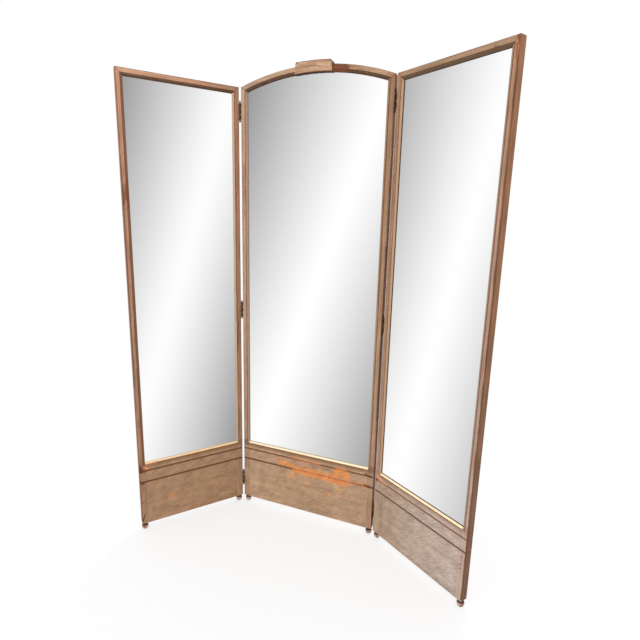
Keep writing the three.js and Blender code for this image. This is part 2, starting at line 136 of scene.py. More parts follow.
class Recipe:
    """Adds nodes to one tree and links them. Each method gives back the new node's output."""

    def __init__(self, tree):
        self.tree = tree

    def node(self, kind, **settings):
        node = self.tree.nodes.new(kind)
        for key, value in settings.items():
            setattr(node, key, value)
        return node

    def place(self):
        """Where the shaded point is, in metres."""
        return self.node("ShaderNodeTexCoord").outputs["Object"]

    def split(self, point):
        node = self.node("ShaderNodeSeparateXYZ")
        self.feed(node.inputs[0], point)
        return node.outputs

    def feed(self, socket, value):
        """Links an output to a socket, or writes a plain value on it."""
        if isinstance(value, bpy.types.NodeSocket):
            self.tree.links.new(value, socket)
        else:
            socket.default_value = value

    def fill(self, node, *values):
        """Feeds the first sockets of a node in order."""
        for socket, value in zip(node.inputs, values):
            self.feed(socket, value)
        return node.outputs[0]

    def math(self, operation, a, b=0.0, c=0.0, clamp=False):
        node = self.node("ShaderNodeMath", operation=operation, use_clamp=clamp)
        return self.fill(node, a, b, c)

    def vector(self, operation, a, b=(0, 0, 0), scale=1.0):
        node = self.node("ShaderNodeVectorMath", operation=operation)
        self.fill(node, a, b)
        self.feed(node.inputs[3], scale)
        return node.outputs[1 if operation in ("LENGTH", "DOT_PRODUCT") else 0]

    def smallest(self, *values):
        least = values[0]
        for value in values[1:]:
            least = self.math("MINIMUM", least, value)
        return least

    def largest(self, *values):
        most = values[0]
        for value in values[1:]:
            most = self.math("MAXIMUM", most, value)
        return most

    def fade(self, value, none_at, full_at):
        """0 where the value is at none_at, 1 where it is at full_at, and smooth between."""
        node = self.node("ShaderNodeMapRange", interpolation_type="SMOOTHSTEP")
        rising = (none_at, full_at, 0.0, 1.0)
        falling = (full_at, none_at, 1.0, 0.0)
        return self.fill(node, value, *(rising if full_at > none_at else falling))

    def noise(self, place, scale, detail=3.0, roughness=0.55, distortion=0.0):
        """Clouds of 0 to 1. The scale is in lumps per metre, along X, Y and Z."""
        lumps = self.vector("MULTIPLY", place, scale)
        node = self.node("ShaderNodeTexNoise")
        node.inputs["Scale"].default_value = 1.0
        node.inputs["Detail"].default_value = detail
        node.inputs["Roughness"].default_value = roughness
        node.inputs["Distortion"].default_value = distortion
        self.feed(node.inputs["Vector"], lumps)
        return node.outputs["Fac"]

    def ramp(self, factor, stops):
        node = self.node("ShaderNodeValToRGB")
        elements = node.color_ramp.elements
        while len(elements) < len(stops):
            elements.new(1.0)
        for element, (position, colour) in zip(elements, stops):
            element.position = position
            element.color = (*as_light(colour), 1.0)
        return self.fill(node, factor)

    def mix(self, factor, a, b):
        node = self.node("ShaderNodeMix", data_type="RGBA")
        self.feed(node.inputs[0], factor)
        for socket, colour in ((node.inputs[6], a), (node.inputs[7], b)):
            linked = isinstance(colour, bpy.types.NodeSocket)
            self.feed(socket, colour if linked else (*as_light(colour), 1.0))
        return node.outputs[2]

    def paint(self, colour, tone, mask, amount):
        """Lays a tone over a colour where the mask is 1, at most by the amount."""
        return self.mix(self.math("MULTIPLY", mask, amount), colour, tone)

    def swing(self, value, size):
        """A value of 0 to 1 as one of minus half to plus half the size."""
        return self.math("MULTIPLY_ADD", value, size, -size / 2)

    def bump(self, height, distance):
        node = self.node("ShaderNodeBump")
        node.inputs["Distance"].default_value = distance
        self.feed(node.inputs["Height"], height)
        return node.outputs[0]

    def either(self, factor, shader, other):
        """The first shader where the factor is 0, and the other where it is 1."""
        return self.fill(self.node("ShaderNodeMixShader"), factor, shader, other)


def surface(recipe, shader, colour, roughness, relief, depth):
    """What most finishes set: the colour, the gloss and a relief so deep."""
    recipe.feed(shader.inputs["Base Color"], colour)
    recipe.feed(shader.inputs["Roughness"], roughness)
    recipe.feed(shader.inputs["Normal"], recipe.bump(relief, depth))


def new_finish(name):
    """A material, its recipe and its surface shader."""
    material = bpy.data.materials.new(name)
    material.use_nodes = True
    recipe = Recipe(material.node_tree)
    shader = material.node_tree.nodes["Principled BSDF"]
    return material, recipe, shader


print("a beige of 165, 135, 110 is", [round(value, 3) for value in as_light((165, 135, 110))])

# %% [markdown]
# ## The studio
#
# The mirror stands on a pale floor before a white backdrop. A mirror has no colour of its own: it
# shows the room. Its three plates each show a soft pale band that leans across a grey ground, so
# the room round this camera is grey with tall leaning bands of light. Only mirror rays see it. A
# band is a plane through the camera's place that leans from the upright, and the sine of the
# angle away from that plane is one dot product.

# %% World
BAND_LIGHT = 1.08
BAND_CORE = 0.024
ROOM_GREY = 0.27
# Bearing to the right of straight ahead, lean to the right going up, and fall-off of the light
BANDS = ((-68.4, 11.1, 3.2), (-18.9, 18.9, 2.95), (24.0, 18.0, 3.2), (68.1, 17.1, 3.8))


def band_normal(bearing, lean):
    """The normal of a leaning band's plane, for someone who looks out from the mirror."""
    ahead = Vector((sin(bearing), -cos(bearing), 0))
    aside = Vector((cos(bearing), sin(bearing), 0))
    along = cos(lean) * Vector((0, 0, 1)) + sin(lean) * aside
    return ahead.cross(along)


world = bpy.data.worlds.new("studio")
bpy.context.scene.world = world
world.use_nodes = True
room = Recipe(world.node_tree)
direction = room.node("ShaderNodeTexCoord").outputs["Generated"]
brightness = ROOM_GREY
for bearing, lean, falloff in BANDS:
    away = room.vector("DOT_PRODUCT", direction, band_normal(radians(bearing), radians(lean)))
    rounded = room.math("SQRT", room.math("MULTIPLY_ADD", away, away, BAND_CORE**2))
    band = room.math("MULTIPLY_ADD", rounded, -falloff, BAND_LIGHT)
    brightness = room.math("MAXIMUM", brightness, band)
rays = room.node("ShaderNodeLightPath")
FILL_LIGHT = 0.76
seen = room.math("MULTIPLY", rays.outputs["Is Glossy Ray"], brightness)
plain = room.math("MULTIPLY_ADD", rays.outputs["Is Glossy Ray"], -FILL_LIGHT, FILL_LIGHT)
direct = room.math("MAXIMUM", rays.outputs["Is Camera Ray"], rays.outputs["Is Transmission Ray"])
strength = room.math("MAXIMUM", room.math("ADD", seen, plain), direct)
background = world.node_tree.nodes["Background"]
background.inputs["Color"].default_value = (1, 1, 1, 1)
room.feed(background.inputs["Strength"], strength)
print("bands of light:", len(BANDS))

# %% [markdown]
# The floor takes the soft shadow under the feet. Its rim fades into the white backdrop, and
# mirror rays pass through it, so that the plates show the room alone.

# %% Floor
FLOOR_RADIUS = 6.0
FLOOR_SIDES = 96
FLOOR_WHITE = (0.99, 0.99, 0.99, 1)
FLOOR_FADE = (0.75, 1.7)
FLOOR_GLOW = 0.6
FLOOR_ROUGHNESS = 0.9
FLOOR_GLOSS = 0.1
bpy.ops.object.select_all(action="DESELECT")
bpy.ops.mesh.primitive_circle_add(vertices=FLOOR_SIDES, radius=FLOOR_RADIUS, fill_type="NGON")
floor = bpy.context.object
floor.name = "studio_floor"
floor_finish, recipe, shader = new_finish("pale_floor")
shader.inputs["Base Color"].default_value = FLOOR_WHITE
shader.inputs["Roughness"].default_value = FLOOR_ROUGHNESS
shader.inputs["Specular IOR Level"].default_value = FLOOR_GLOSS
rim = recipe.fade(recipe.vector("LENGTH", recipe.place()), *FLOOR_FADE)
rim = recipe.math("MULTIPLY_ADD", rim, 1 - FLOOR_GLOW, FLOOR_GLOW)
rays = recipe.node("ShaderNodeLightPath")
white = recipe.node("ShaderNodeEmission").outputs[0]
gone = recipe.node("ShaderNodeBsdfTransparent").outputs[0]
glow = recipe.math("MULTIPLY", rim, rays.outputs["Is Camera Ray"])
blended = recipe.either(glow, shader.outputs[0], white)
see_through = recipe.either(rays.outputs["Is Glossy Ray"], blended, gone)
recipe.feed(floor_finish.node_tree.nodes["Material Output"].inputs["Surface"], see_through)
floor.data.materials.append(floor_finish)

# %% [markdown]
# Two big soft lamps light the frames: one high on the right and in front, and a weaker one on the
# left. From high up they brighten every slope that faces the ceiling, such as the bevel under
# each plate, and leave the slopes that face down in shade. A third lamp keeps the back readable.

# %% Lamps
# Name, place, width, power in watts
LAMPS = (
    ("key_light", Vector((2.5, -5.0, 4.3)), 3.2, 158),
    ("fill_light", Vector((-4.2, -4.6, 2.8)), 3.6, 100),
    ("back_light", Vector((0.2, 3.0, 2.8)), 2.4, 40),
)
LAMP_TARGET = Vector((0, 0, 0.9))
for name, place, width, power in LAMPS:
    data = bpy.data.lights.new(name, "AREA")
    data.shape = "DISK"
    data.size = width
    data.energy = power
    lamp = bpy.data.objects.new(name, data)
    bpy.context.scene.collection.objects.link(lamp)
    lamp.location = place
    lamp.rotation_euler = (LAMP_TARGET - place).to_track_quat("-Z", "Y").to_euler()
    lamp.visible_glossy = False
print("lamps:", [name for name, *_ in LAMPS])

# %% [markdown]
# ## Finding each panel
#
# The wings are folded, so nothing on them is square to the axes. Every finish works in the
# panel's own frame instead: X across the panel from its left edge, Y back from its front face,
# and Z up from the underside of the stiles. The two feet of a panel give that frame, because
# each stands under the middle of its stile.

# %% Panels
FRAME_DEPTH = 30 * MM
HINGE_STILE = 28 * MM
OUTER_STILE = 24 * MM
TOP_RAIL = 28 * MM
FOOT_HEIGHT = 30 * MM
STILE_HEIGHT = 1800 * MM
ARCH_RISE = 55.5 * MM
SIGHT_BOTTOM = 281 * MM
LOWER_GROOVE = 194.5 * MM
UPPER_GROOVE = 244.5 * MM

Panel = namedtuple("Panel", "name body origin turn width left right arch")


def middle_of(node):
    low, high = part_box(node)
    return (low + high) / 2


def find_panel(name, body, left_foot, right_foot, left, right, arched):
    start, end = middle_of(left_foot), middle_of(right_foot)
    across = Vector((end.x - start.x, end.y - start.y, 0))
    turn = atan2(across.y, across.x)
    width = across.length + left / 2 + right / 2
    corner = Matrix.Rotation(turn, 3, "Z") @ Vector((-left / 2, -FRAME_DEPTH / 2, 0))
    origin = Vector((start.x + corner.x, start.y + corner.y, FOOT_HEIGHT))
    radius = ((width / 2) ** 2 + ARCH_RISE**2) / (2 * ARCH_RISE) if arched else None
    return Panel(name, body, origin, turn, width, left, right, radius)


LEFT_WING = find_panel(
    "left_wing", "left_wing", "left_wing_outer_foot", "left_wing_hinge_foot",
    OUTER_STILE, HINGE_STILE, False,
)
CENTRE = find_panel(
    "centre", "centre_panel", "centre_left_foot", "centre_right_foot",
    HINGE_STILE, HINGE_STILE, True,
)
RIGHT_WING = find_panel(
    "right_wing", "right_wing", "right_wing_hinge_foot", "right_wing_outer_foot",
    HINGE_STILE, OUTER_STILE, False,
)
PANELS = (LEFT_WING, CENTRE, RIGHT_WING)


def panel_matrix(panel):
    """Carries a place in the panel's frame into the shared frame."""
    return Matrix.Translation(panel.origin) @ Matrix.Rotation(panel.turn, 4, "Z")


for panel in PANELS:
    width, turn = round(panel.width / MM, 1), round(degrees(panel.turn), 1)
    print(panel.name, "is", width, "mm wide, turned", turn)

# %% [markdown]
# ## Limed wood
#
# The frames are softwood under a thin beige coat, rubbed back so that the grain shows. The finish
# is built up in the order of the real one: first the brown wood with its long fibres, then the
# coat, which is thin over the pores. Hands and knocks wore the coat off the edges, dirt stayed in
# the grooves, and single marks come last.
#
# A small helper gives the places that the wear needs: how far a point is from the opening of the
# mirror, from the panel's outer edge and from a hinged edge. They come from plain sums, so the
# wear follows the straight stiles and the curved top alike.

# %% Places on a panel
Places = namedtuple("Places", "point x y z sight edge joint front")


def find_places(recipe, panel):
    """Where a shaded point is on its panel, in metres, as sockets."""
    back = Matrix.Rotation(-panel.turn, 3, "Z")
    mapping = recipe.node("ShaderNodeMapping")
    mapping.inputs["Rotation"].default_value = (0, 0, -panel.turn)
    mapping.inputs["Location"].default_value = -(back @ panel.origin)
    recipe.feed(mapping.inputs["Vector"], recipe.place())
    point = mapping.outputs[0]
    x, y, z = recipe.split(point)
    if panel.arch:
        centre = (panel.width / 2, 0, STILE_HEIGHT + ARCH_RISE - panel.arch)
        flat = recipe.vector("MULTIPLY", recipe.vector("SUBTRACT", point, centre), (1, 0, 1))
        from_top = recipe.math("SUBTRACT", panel.arch, recipe.vector("LENGTH", flat))
        low_down = recipe.math("SUBTRACT", STILE_HEIGHT, z)
        from_top = recipe.largest(from_top, low_down)
    else:
        from_top = recipe.math("SUBTRACT", STILE_HEIGHT, z)
    from_right = recipe.math("SUBTRACT", panel.width, x)
    edge = recipe.smallest(x, from_right, from_top)
    joints = {"left_wing": from_right, "centre": recipe.smallest(x, from_right), "right_wing": x}
    sight = recipe.largest(
        recipe.math("SUBTRACT", panel.left, x),
        recipe.math("SUBTRACT", panel.right, from_right),
        recipe.math("SUBTRACT", TOP_RAIL, from_top),
        recipe.math("SUBTRACT", SIGHT_BOTTOM, z),
    )
    front = recipe.fade(y, 14 * MM, 9 * MM)
    return Places(point, x, y, z, sight, edge, joints[panel.name], front)


# %% [markdown]
# A mark is a stroke from one point of a panel's face to another, soft at its edge and broken up
# by the grain. One such stroke makes a knot, a scratch, a worn patch or the dark line of a mitre.

# %% Marks
Mark = namedtuple("Mark", "start end half_width colour amount ragged soft", defaults=(0.8, 1.0))


def distance_to_stroke(recipe, point, start, end):
    """How far a point of the face is from the stretch between two places on it."""
    a = Vector((start[0] * MM, 0, start[1] * MM))
    along = Vector((end[0] * MM, 0, end[1] * MM)) - a
    flat = recipe.vector("MULTIPLY", point, (1, 0, 1))
    offset = recipe.vector("SUBTRACT", flat, a)
    share = recipe.vector("DOT_PRODUCT", offset, along / max(along.length_squared, 1e-12))
    share = recipe.math("ADD", share, 0.0, clamp=True)
    nearest = recipe.vector("SCALE", along, scale=share)
    return recipe.vector("LENGTH", recipe.vector("SUBTRACT", offset, nearest))


def add_mark(recipe, places, colour, ragged_noise, mark, light):
    distance = distance_to_stroke(recipe, places.point, mark.start, mark.end)
    width = mark.half_width * MM
    reach = recipe.math("ADD", distance, recipe.swing(ragged_noise, 4 * mark.ragged * width))
    inside = recipe.fade(reach, width, width * (1 - mark.soft))
    amount = recipe.math("MULTIPLY", recipe.math("MULTIPLY", inside, mark.amount), places.front)
    tone = recipe.vector("SCALE", as_light(mark.colour), scale=light)
    return recipe.mix(amount, colour, tone)


# %% Wood colours
UMBER = (96, 58, 36)
DARK_UMBER = (58, 34, 22)
# A deep shade, painted on the lip inside the opening and on the neck of each foot
DEEP_SHADE = (48, 27, 16)
RUST = (140, 84, 52)
RED_BROWN = (118, 68, 43)
AMBER = (208, 134, 76)
OCHRE = (196, 138, 94)
PALE = (214, 194, 172)
# What the coat is multiplied by where it is most olive, and how far from there to most pink
OLIVE_TINGE = (0.97, 1.0, 0.94)
TINGE_CHANGE = (0.06, -0.01, 0.07)
BARE_WOOD = ((112, 76, 50), (154, 112, 80), (190, 148, 110))

# The coat of each piece: at its foot, at its middle and at its head, or from left to right
# The panels' coats differ in part as painted light: the right wing is painted paler, the left browner.
COATS = {
    "left_wing": {
        "outer_stile": ((154, 119, 93), (162, 126, 102), (179, 134, 108)),
        "hinge_stile": ((158, 123, 96), (148, 114, 88), (158, 119, 93)),
        "top_rail": ((194, 150, 122), (187, 141, 112), (158, 120, 96)),
        "board": ((163, 128, 101), (162, 128, 99), (160, 126, 97)),
    },
    "centre": {
        "left_stile": ((160, 128, 104), (172, 143, 122), (178, 145, 119)),
        "right_stile": ((162, 131, 107), (156, 125, 100), (143, 112, 86)),
        "arched_rail": ((170, 140, 117), (170, 140, 115), (166, 132, 107)),
        "board": ((174, 142, 115), (166, 135, 107), (168, 138, 112)),
    },
    "right_wing": {
        "hinge_stile": ((172, 144, 123), (156, 123, 97), (152, 118, 92)),
        "outer_stile": ((179, 156, 142), (162, 134, 117), (162, 126, 101)),
        "top_rail": ((152, 124, 98), (156, 125, 100), (158, 125, 101)),
        "board": ((164, 140, 121), (176, 156, 142), (178, 160, 150)),
    },
}

# The bevel round the mirror on the left, the right, above and below, as painted light: a painted
# highlight below, where it faces up, and painted shade above and on the sides turned from the light.
LIT_AND_SHADED_BEVELS = {
    "left_wing": ((128, 90, 68), (188, 160, 138), (82, 56, 36), (250, 212, 164)),
    "centre": ((160, 130, 110), (154, 129, 109), (74, 50, 32), (252, 234, 200)),
    "right_wing": ((171, 139, 112), (166, 143, 127), (94, 72, 53), (254, 232, 190)),
}

# Painted shade on the lip behind the bevel: how dark it is, on the same four sides
LIP_SHADE = {
    "left_wing": (0.8, 0.1, 0.9, 0.4),
    "centre": (0.1, 0.75, 0.9, 0.4),
    "right_wing": (0.8, 0.6, 1.0, 0.9),
}

# The dirt in the lower groove and in the upper one
GROOVES = {
    "left_wing": ((104, 62, 40), (108, 72, 46)),
    "centre": ((104, 60, 36), (124, 80, 50)),
    "right_wing": ((112, 78, 62), (138, 100, 78)),
}

# The outer side of each panel, painted darker than its face, at its foot and at its head
SIDE_TONES = {
    "left_wing": ((140, 106, 84), (150, 112, 90)),
    "centre": ((120, 84, 60), (130, 90, 64)),
    "right_wing": ((114, 82, 60), (143, 102, 74)),
}

# %% [markdown]
# The marks are read off the photograph and written in millimetres across and up each panel: the
# orange patch where the coat on the centre apron is rubbed through, the dark knot at the left
# wing's lower corner, the nail holes low on the right wing.

# %% Marks on each panel
MITRE = (DARK_UMBER, 0.6, 0.2, 0.6)


def mitre_marks(panel):
    """The dark line across each top corner, where the rail meets the stile."""
    width = panel.width / MM
    top = STILE_HEIGHT / MM
    lines = []
    for edge, inner in ((0, panel.left / MM), (width, width - panel.right / MM)):
        drop = TOP_RAIL / MM - (5 if panel.arch else 0)
        lines.append(Mark((edge, top), (inner, top - drop), 1.2, *MITRE))
    return lines


# Start, end, half width, colour, amount, and how ragged and how soft the edge is
LEFT_WING_MARKS = [
    # The knot and the smudges at the ends of the grooves
    ((2, 262), (17, 244), 15, (116, 62, 38), 0.95, 0.5, 0.9),
    ((1, 262), (6, 240), 6, DARK_UMBER, 0.8, 0.5, 0.9),
    ((20, 262), (32, 252), 8, AMBER, 0.85, 0.6),
    ((32, 270), (70, 272), 6, OCHRE, 0.6),
    ((0, 193), (14, 188), 10, UMBER, 0.9, 0.5, 0.9),
    ((424, 193), (444, 193), 8, (120, 66, 42), 0.7, 0.6),
    # Low on the boards and the stiles
    ((13, 42), (3, 14), 3.6, DARK_UMBER, 0.95, 0.4, 0.7),
    ((3, 104), (7, 96), 4, UMBER, 0.6, 0.6, 0.8),
    ((116, 96), (134, 100), 15, (190, 128, 86), 0.85, 0.5),
    ((370, 34), (400, 30), 22, (160, 136, 90), 0.45, 0.6),
    ((428, 66), (440, 10), 7, (188, 144, 120), 0.6, 0.5),
    ((446, 52), (447, 34), 3, UMBER, 0.6, 0.5),
    # The outer stile: red seams beside the bevel, and a worn patch under the corner
    ((15, 300), (14, 700), 2.2, RED_BROWN, 0.7, 1.0),
    ((14, 760), (16, 1240), 1.8, RED_BROWN, 0.5, 1.2),
    ((10, 1120), (13, 1180), 2.4, RED_BROWN, 0.7),
    ((12, 1400), (13, 1350), 8, (140, 86, 60), 0.9, 0.5, 0.9),
    ((3, 1400), (4, 1330), 4, DARK_UMBER, 0.7, 0.5, 0.9),
    ((1, 620), (1, 1470), 4.4, (98, 62, 46), 0.85, 0.4),
    ((18, 1420), (20, 1320), 4, (122, 66, 34), 0.8, 0.5, 0.8),
    # The hinge stile: olive low down, red in the middle and near the head
    ((440, 300), (440, 440), 9, (134, 102, 72), 0.7, 0.6),
    ((438, 720), (441, 850), 4, (106, 62, 38), 0.85),
    ((432, 850), (434, 1240), 2.6, (150, 108, 78), 0.8),
    ((436, 1300), (438, 1480), 3, (130, 78, 50), 0.75, 1.0),
    ((449, 1320), (450, 1780), 4, (140, 96, 68), 0.5),
    # The top rail, browner towards the hinge
    ((300, 1797), (350, 1794), 4, (158, 104, 76), 0.7),
    ((345, 1797), (440, 1797), 4, (136, 100, 80), 0.6),
]
CENTRE_MARKS = [
    # Above the lower groove
    ((182, 214), (240, 212), 18, AMBER, 0.9, 0.9),
    ((226, 217), (236, 216), 14, AMBER, 0.9),
    ((236, 206), (460, 207), 13, AMBER, 0.95),
    ((338, 214), (344, 208), 9, AMBER, 0.9, 0.6),
    ((180, 205), (250, 204), 6, AMBER, 0.7, 1.0),
    ((250, 194.5), (590, 194.5), 4.5, (206, 116, 56), 0.9, 0.4, 0.8),
    ((340, 230), (422, 232), 11, (142, 116, 92), 0.7),
    ((300, 222), (335, 224), 8, (196, 142, 100), 0.6, 1.2),
    ((462, 224), (500, 222), 30, AMBER, 0.97, 0.6, 0.9),
    ((456, 232), (482, 238), 18, AMBER, 0.9),
    ((506, 214), (516, 206), 14, AMBER, 0.9),
    ((455, 246), (506, 247), 8, (202, 124, 62), 0.8, 0.6),
    ((238, 249), (376, 246), 8, (198, 126, 90), 0.85),
    ((518, 205), (590, 202), 6, (190, 130, 88), 0.75, 1.0),
    # Below it
    ((262, 186), (345, 183), 17, AMBER, 0.95, 0.7),
    ((335, 186), (508, 184), 17, AMBER, 0.97, 0.6, 0.9),
    ((430, 177), (496, 175), 13, AMBER, 0.92, 0.7),
    ((510, 192), (588, 189), 6, (188, 136, 100), 0.7, 1.0),
    ((248, 180), (254, 156), 15, (206, 142, 96), 0.85),
    ((222, 156), (240, 146), 10, (200, 146, 106), 0.7),
    ((176, 152), (186, 120), 9, (192, 144, 112), 0.5, 1.0),
    ((312, 146), (330, 134), 12, (198, 146, 110), 0.65, 0.7),
    ((418, 118), (430, 114), 12, (212, 146, 88), 0.8, 0.7),
    ((468, 146), (478, 140), 12, (210, 142, 84), 0.8, 0.7),
    ((468, 116), (478, 110), 10, (204, 146, 106), 0.6, 0.7),
    ((530, 128), (548, 110), 10, (184, 138, 108), 0.55),
    ((440, 158), (468, 150), 9, (186, 148, 98), 0.5, 1.0),
    # Tones of the apron
    ((340, 40), (372, 24), 26, (146, 116, 86), 0.6, 0.6),
    ((230, 92), (300, 98), 26, (148, 120, 92), 0.45),
    ((24, 130), (60, 60), 30, (192, 160, 132), 0.5, 0.6),
    ((548, 190), (552, 70), 1.2, (122, 92, 68), 0.6, 0.6),
    ((566, 196), (568, 80), 1.2, (122, 92, 68), 0.6, 0.6),
    # The smudges at the right stile
    ((586, 250), (610, 244), 9, UMBER, 0.9, 0.6),
    ((586, 199), (606, 196), 10, UMBER, 0.9, 0.6),
    ((3, 100), (8, 64), 6, UMBER, 0.6),
    # The stiles
    ((20, 290), (20, 1050), 1.8, (112, 72, 50), 0.7, 0.9),
    ((17, 1240), (19, 1500), 3, (140, 96, 70), 0.7, 1.0),
    ((14, 1300), (16, 1420), 3, (132, 74, 48), 0.6, 1.2),
    ((600, 980), (600, 1700), 2, (116, 74, 48), 0.75, 0.9),
    ((620, 500), (620, 1200), 5, (92, 56, 34), 0.9, 0.3),
    ((10, 1390), (12, 1500), 12, (148, 110, 84), 0.55, 0.6),
    ((613, 960), (613, 1080), 3, (136, 92, 66), 0.6, 1.0),
    # The arch
    ((392, 1840), (436, 1833), 24, (112, 66, 42), 0.97, 0.4, 0.6),
    ((450, 1838), (500, 1824), 8, (150, 104, 72), 0.7, 0.9),
    ((205, 1845), (236, 1850), 14, (168, 132, 94), 0.6, 0.6, 0.9),
    ((596, 1800), (618, 1790), 7, (150, 88, 56), 0.6, 0.8, 0.9),
]
RIGHT_WING_MARKS = [
    # The orange corner
    ((16, 264), (34, 252), 12, (206, 148, 102), 0.85, 0.6),
    ((34, 250), (70, 246), 7, (204, 148, 108), 0.8),
    ((20, 292), (20, 244), 5, (178, 112, 64), 0.85, 0.4),
    ((2, 20), (2, 240), 5, (140, 108, 86), 0.8, 0.5),
    ((1, 250), (9, 236), 6, DARK_UMBER, 0.7, 0.6, 0.9),
    # Nail holes
    ((437, 172), (437, 168), 2.6, DARK_UMBER, 0.95, 0.2, 0.7),
    ((436, 143), (436, 138), 3, DARK_UMBER, 0.95, 0.2, 0.7),
    ((437, 126), (437, 122), 3, DARK_UMBER, 0.95, 0.2, 0.7),
    # The boards: browner beside the hinge and along the foot
    ((42, 184), (44, 30), 10, (148, 122, 98), 0.55, 0.7),
    ((60, 6), (420, 4), 14, (152, 128, 108), 0.5, 0.6),
    ((390, 120), (410, 40), 30, (196, 178, 170), 0.4, 0.6),
    ((366, 70), (390, 56), 3, PALE, 0.7, 1.0),
    ((372, 62), (380, 52), 2, PALE, 0.7, 1.0),
    ((395, 31), (405, 26), 2, PALE, 0.6, 1.0),
    ((426, 190), (425, 10), 1.2, (138, 112, 96), 0.7, 0.5),
    # The stiles
    ((11, 300), (11, 1450), 3, (146, 104, 74), 0.65, 1.0),
    ((2, 1400), (2, 1700), 4, (124, 84, 58), 0.6),
    ((453, 10), (453, 1740), 4.5, (104, 66, 42), 0.95, 0.6, 0.9),
    ((448, 1800), (456, 1776), 7, (128, 68, 38), 0.95, 0.5, 0.9),
    ((446, 1776), (450, 1740), 5, (132, 72, 42), 0.9, 0.6, 0.9),
    ((1, 1799), (12, 1788), 10, (168, 98, 56), 0.8, 0.6, 0.8),
    ((180, 1799), (300, 1799), 5, (132, 84, 58), 0.8),
    ((60, 1799), (140, 1799), 3, (132, 88, 62), 0.7),
    ((378, 1786), (386, 1784), 7, UMBER, 0.6, 0.6),
]
MARKS = {}
for panel, rows in zip(PANELS, (LEFT_WING_MARKS, CENTRE_MARKS, RIGHT_WING_MARKS)):
    MARKS[panel.name] = [Mark(*row) for row in rows] + mitre_marks(panel)
print("marks:", {name: len(marks) for name, marks in MARKS.items()})

# %% [markdown]
# A finish is quicker to draw when it holds only the marks that reach its own piece. The pieces
# of a panel are listed above in one order: left stile, right stile, top rail, boards.

# %% Marks of one piece
def piece_area(panel, part):
    """Left, right, bottom and top of a piece, in millimetres."""
    width = panel.width / MM
    top = (STILE_HEIGHT + ARCH_RISE) / MM
    areas = (
        (0, panel.left / MM, 0, top),
        (width - panel.right / MM, width, 0, top),
        (0, width, (STILE_HEIGHT - 2 * TOP_RAIL) / MM, top),
        (0, width, 0, SIGHT_BOTTOM / MM),
    )
    return areas[list(COATS[panel.name]).index(part)]


def marks_of(panel, part):
    left, right, bottom, top = piece_area(panel, part)
    found = []
    for mark in MARKS[panel.name]:
        reach = mark.half_width * (1 + 2 * mark.ragged)
        across = sorted((mark.start[0], mark.end[0]))
        upward = sorted((mark.start[1], mark.end[1]))
        beside = across[0] - reach > right or across[1] + reach < left
        beyond = upward[0] - reach > top or upward[1] + reach < bottom
        if not beside and not beyond:
            found.append(mark)
    return found


print("marks on the centre boards:", len(marks_of(CENTRE, "board")))

# %% [markdown]
# The wood finish takes the direction of the grain: upright on the stiles, and across on the
# rails and boards. The grain is the same noise in both, drawn out a hundredfold along the
# fibres. The moulding gets its own colours: its quirk holds dirt and painted shade, and its bevel
# is painted lit or shaded by the way it turns to the light.

# %% The wood finish
# Lumps per metre across the grain and along it
FIBRE = (1100, 14)
STREAK = (240, 7)
SEAM = (150, 4)
CLOUD = (80, 10)
BOARD_CLOUD = (34, 18)
TINGE = (60, 16)
RAGGED = {"upright": (150, 16), "across": (210, 90)}
FINE = (330, 330)
SCRATCH = (22, 1, 190)
SCRATCH_TILT = radians(38)
# How much the clouds, the streaks and the fine speckle change the coat
SHADES = {"upright": (1.1, 0.9, 0.7), "across": (1.1, 0.9, 0.7), "board": (1.1, 0.3, 1.2)}
THIN_COAT = {"upright": 0.6, "across": 0.6, "board": 0.25}
BEVEL_WIDTH = 7 * MM
QUIRK = {"upright": (7.2 * MM, 10.2 * MM), "across": (7.2 * MM, 11.6 * MM)}
LIP_BACK = (4.3 * MM, 5.2 * MM)
GROOVE_HALF = 3.9 * MM
UNDER_MIRROR = (260 * MM, 290 * MM)
UNDER_SHADE = {"left_wing": 0.6, "centre": 0.75, "right_wing": 0.35}
# Painted shade in the joints between panels: the heights where it lightens, and its two tones
JOINT_BROWN = (1.5, 1.68)
JOINT_SHADE_TONES = ((112, 72, 46), (142, 90, 58))
UNDER_TONE = (118, 84, 56)
COAT_STOPS = (0.08, 0.5, 0.92)
WOOD_STOPS = (0.3, 0.5, 0.7)
# Each pair below is the value where a fade starts and the value where it is full
PORES = (0.45, 0.33)
SEAMS = (0.41, 0.33)
BEVEL_SEAMS = (0.46, 0.3)
TINGES = (0.36, 0.64)
ARRIS = (1.9 * MM, 0.1 * MM)
AT_EDGE = (0.9 * MM, 0.2 * MM)
IN_OPENING = (0.5 * MM, 0.2 * MM)
IN_JOINT = (1.2 * MM, 3 * MM)
BEHIND_FACE = (2.6 * MM, 5 * MM)
AT_BACK = (28.5 * MM, 29.5 * MM)
# A slope and an offset: how far the rubbing reaches over an arris, and how rough the fibres are
RUBBED = (8 * MM, -2.8 * MM)
ROUGHNESS = (0.25, 0.45)
WOOD_GLOSS = 0.2
WOOD_RELIEF = 0.25 * MM


def stretched(grain, sizes):
    """Lumps per metre across and along the grain, as a scale for X, Y and Z."""
    across, along = sizes
    return (across, across, along) if grain == "upright" else (along, across, across)


def band_mask(recipe, value, low, high, soft):
    """1 where the value lies between low and high, with soft ends."""
    rising = recipe.fade(value, low - soft, low + soft)
    return recipe.math("MULTIPLY", rising, recipe.fade(value, high + soft, high - soft))


def second_half(recipe, panel, grain, places):
    """1 on the right stile or on the top rail, 0 on the left stile or on the boards."""
    if grain == "upright":
        return recipe.fade(places.x, panel.width / 2, panel.width / 2 + MM)
    return recipe.fade(places.z, STILE_HEIGHT / 2, STILE_HEIGHT / 2 + MM)


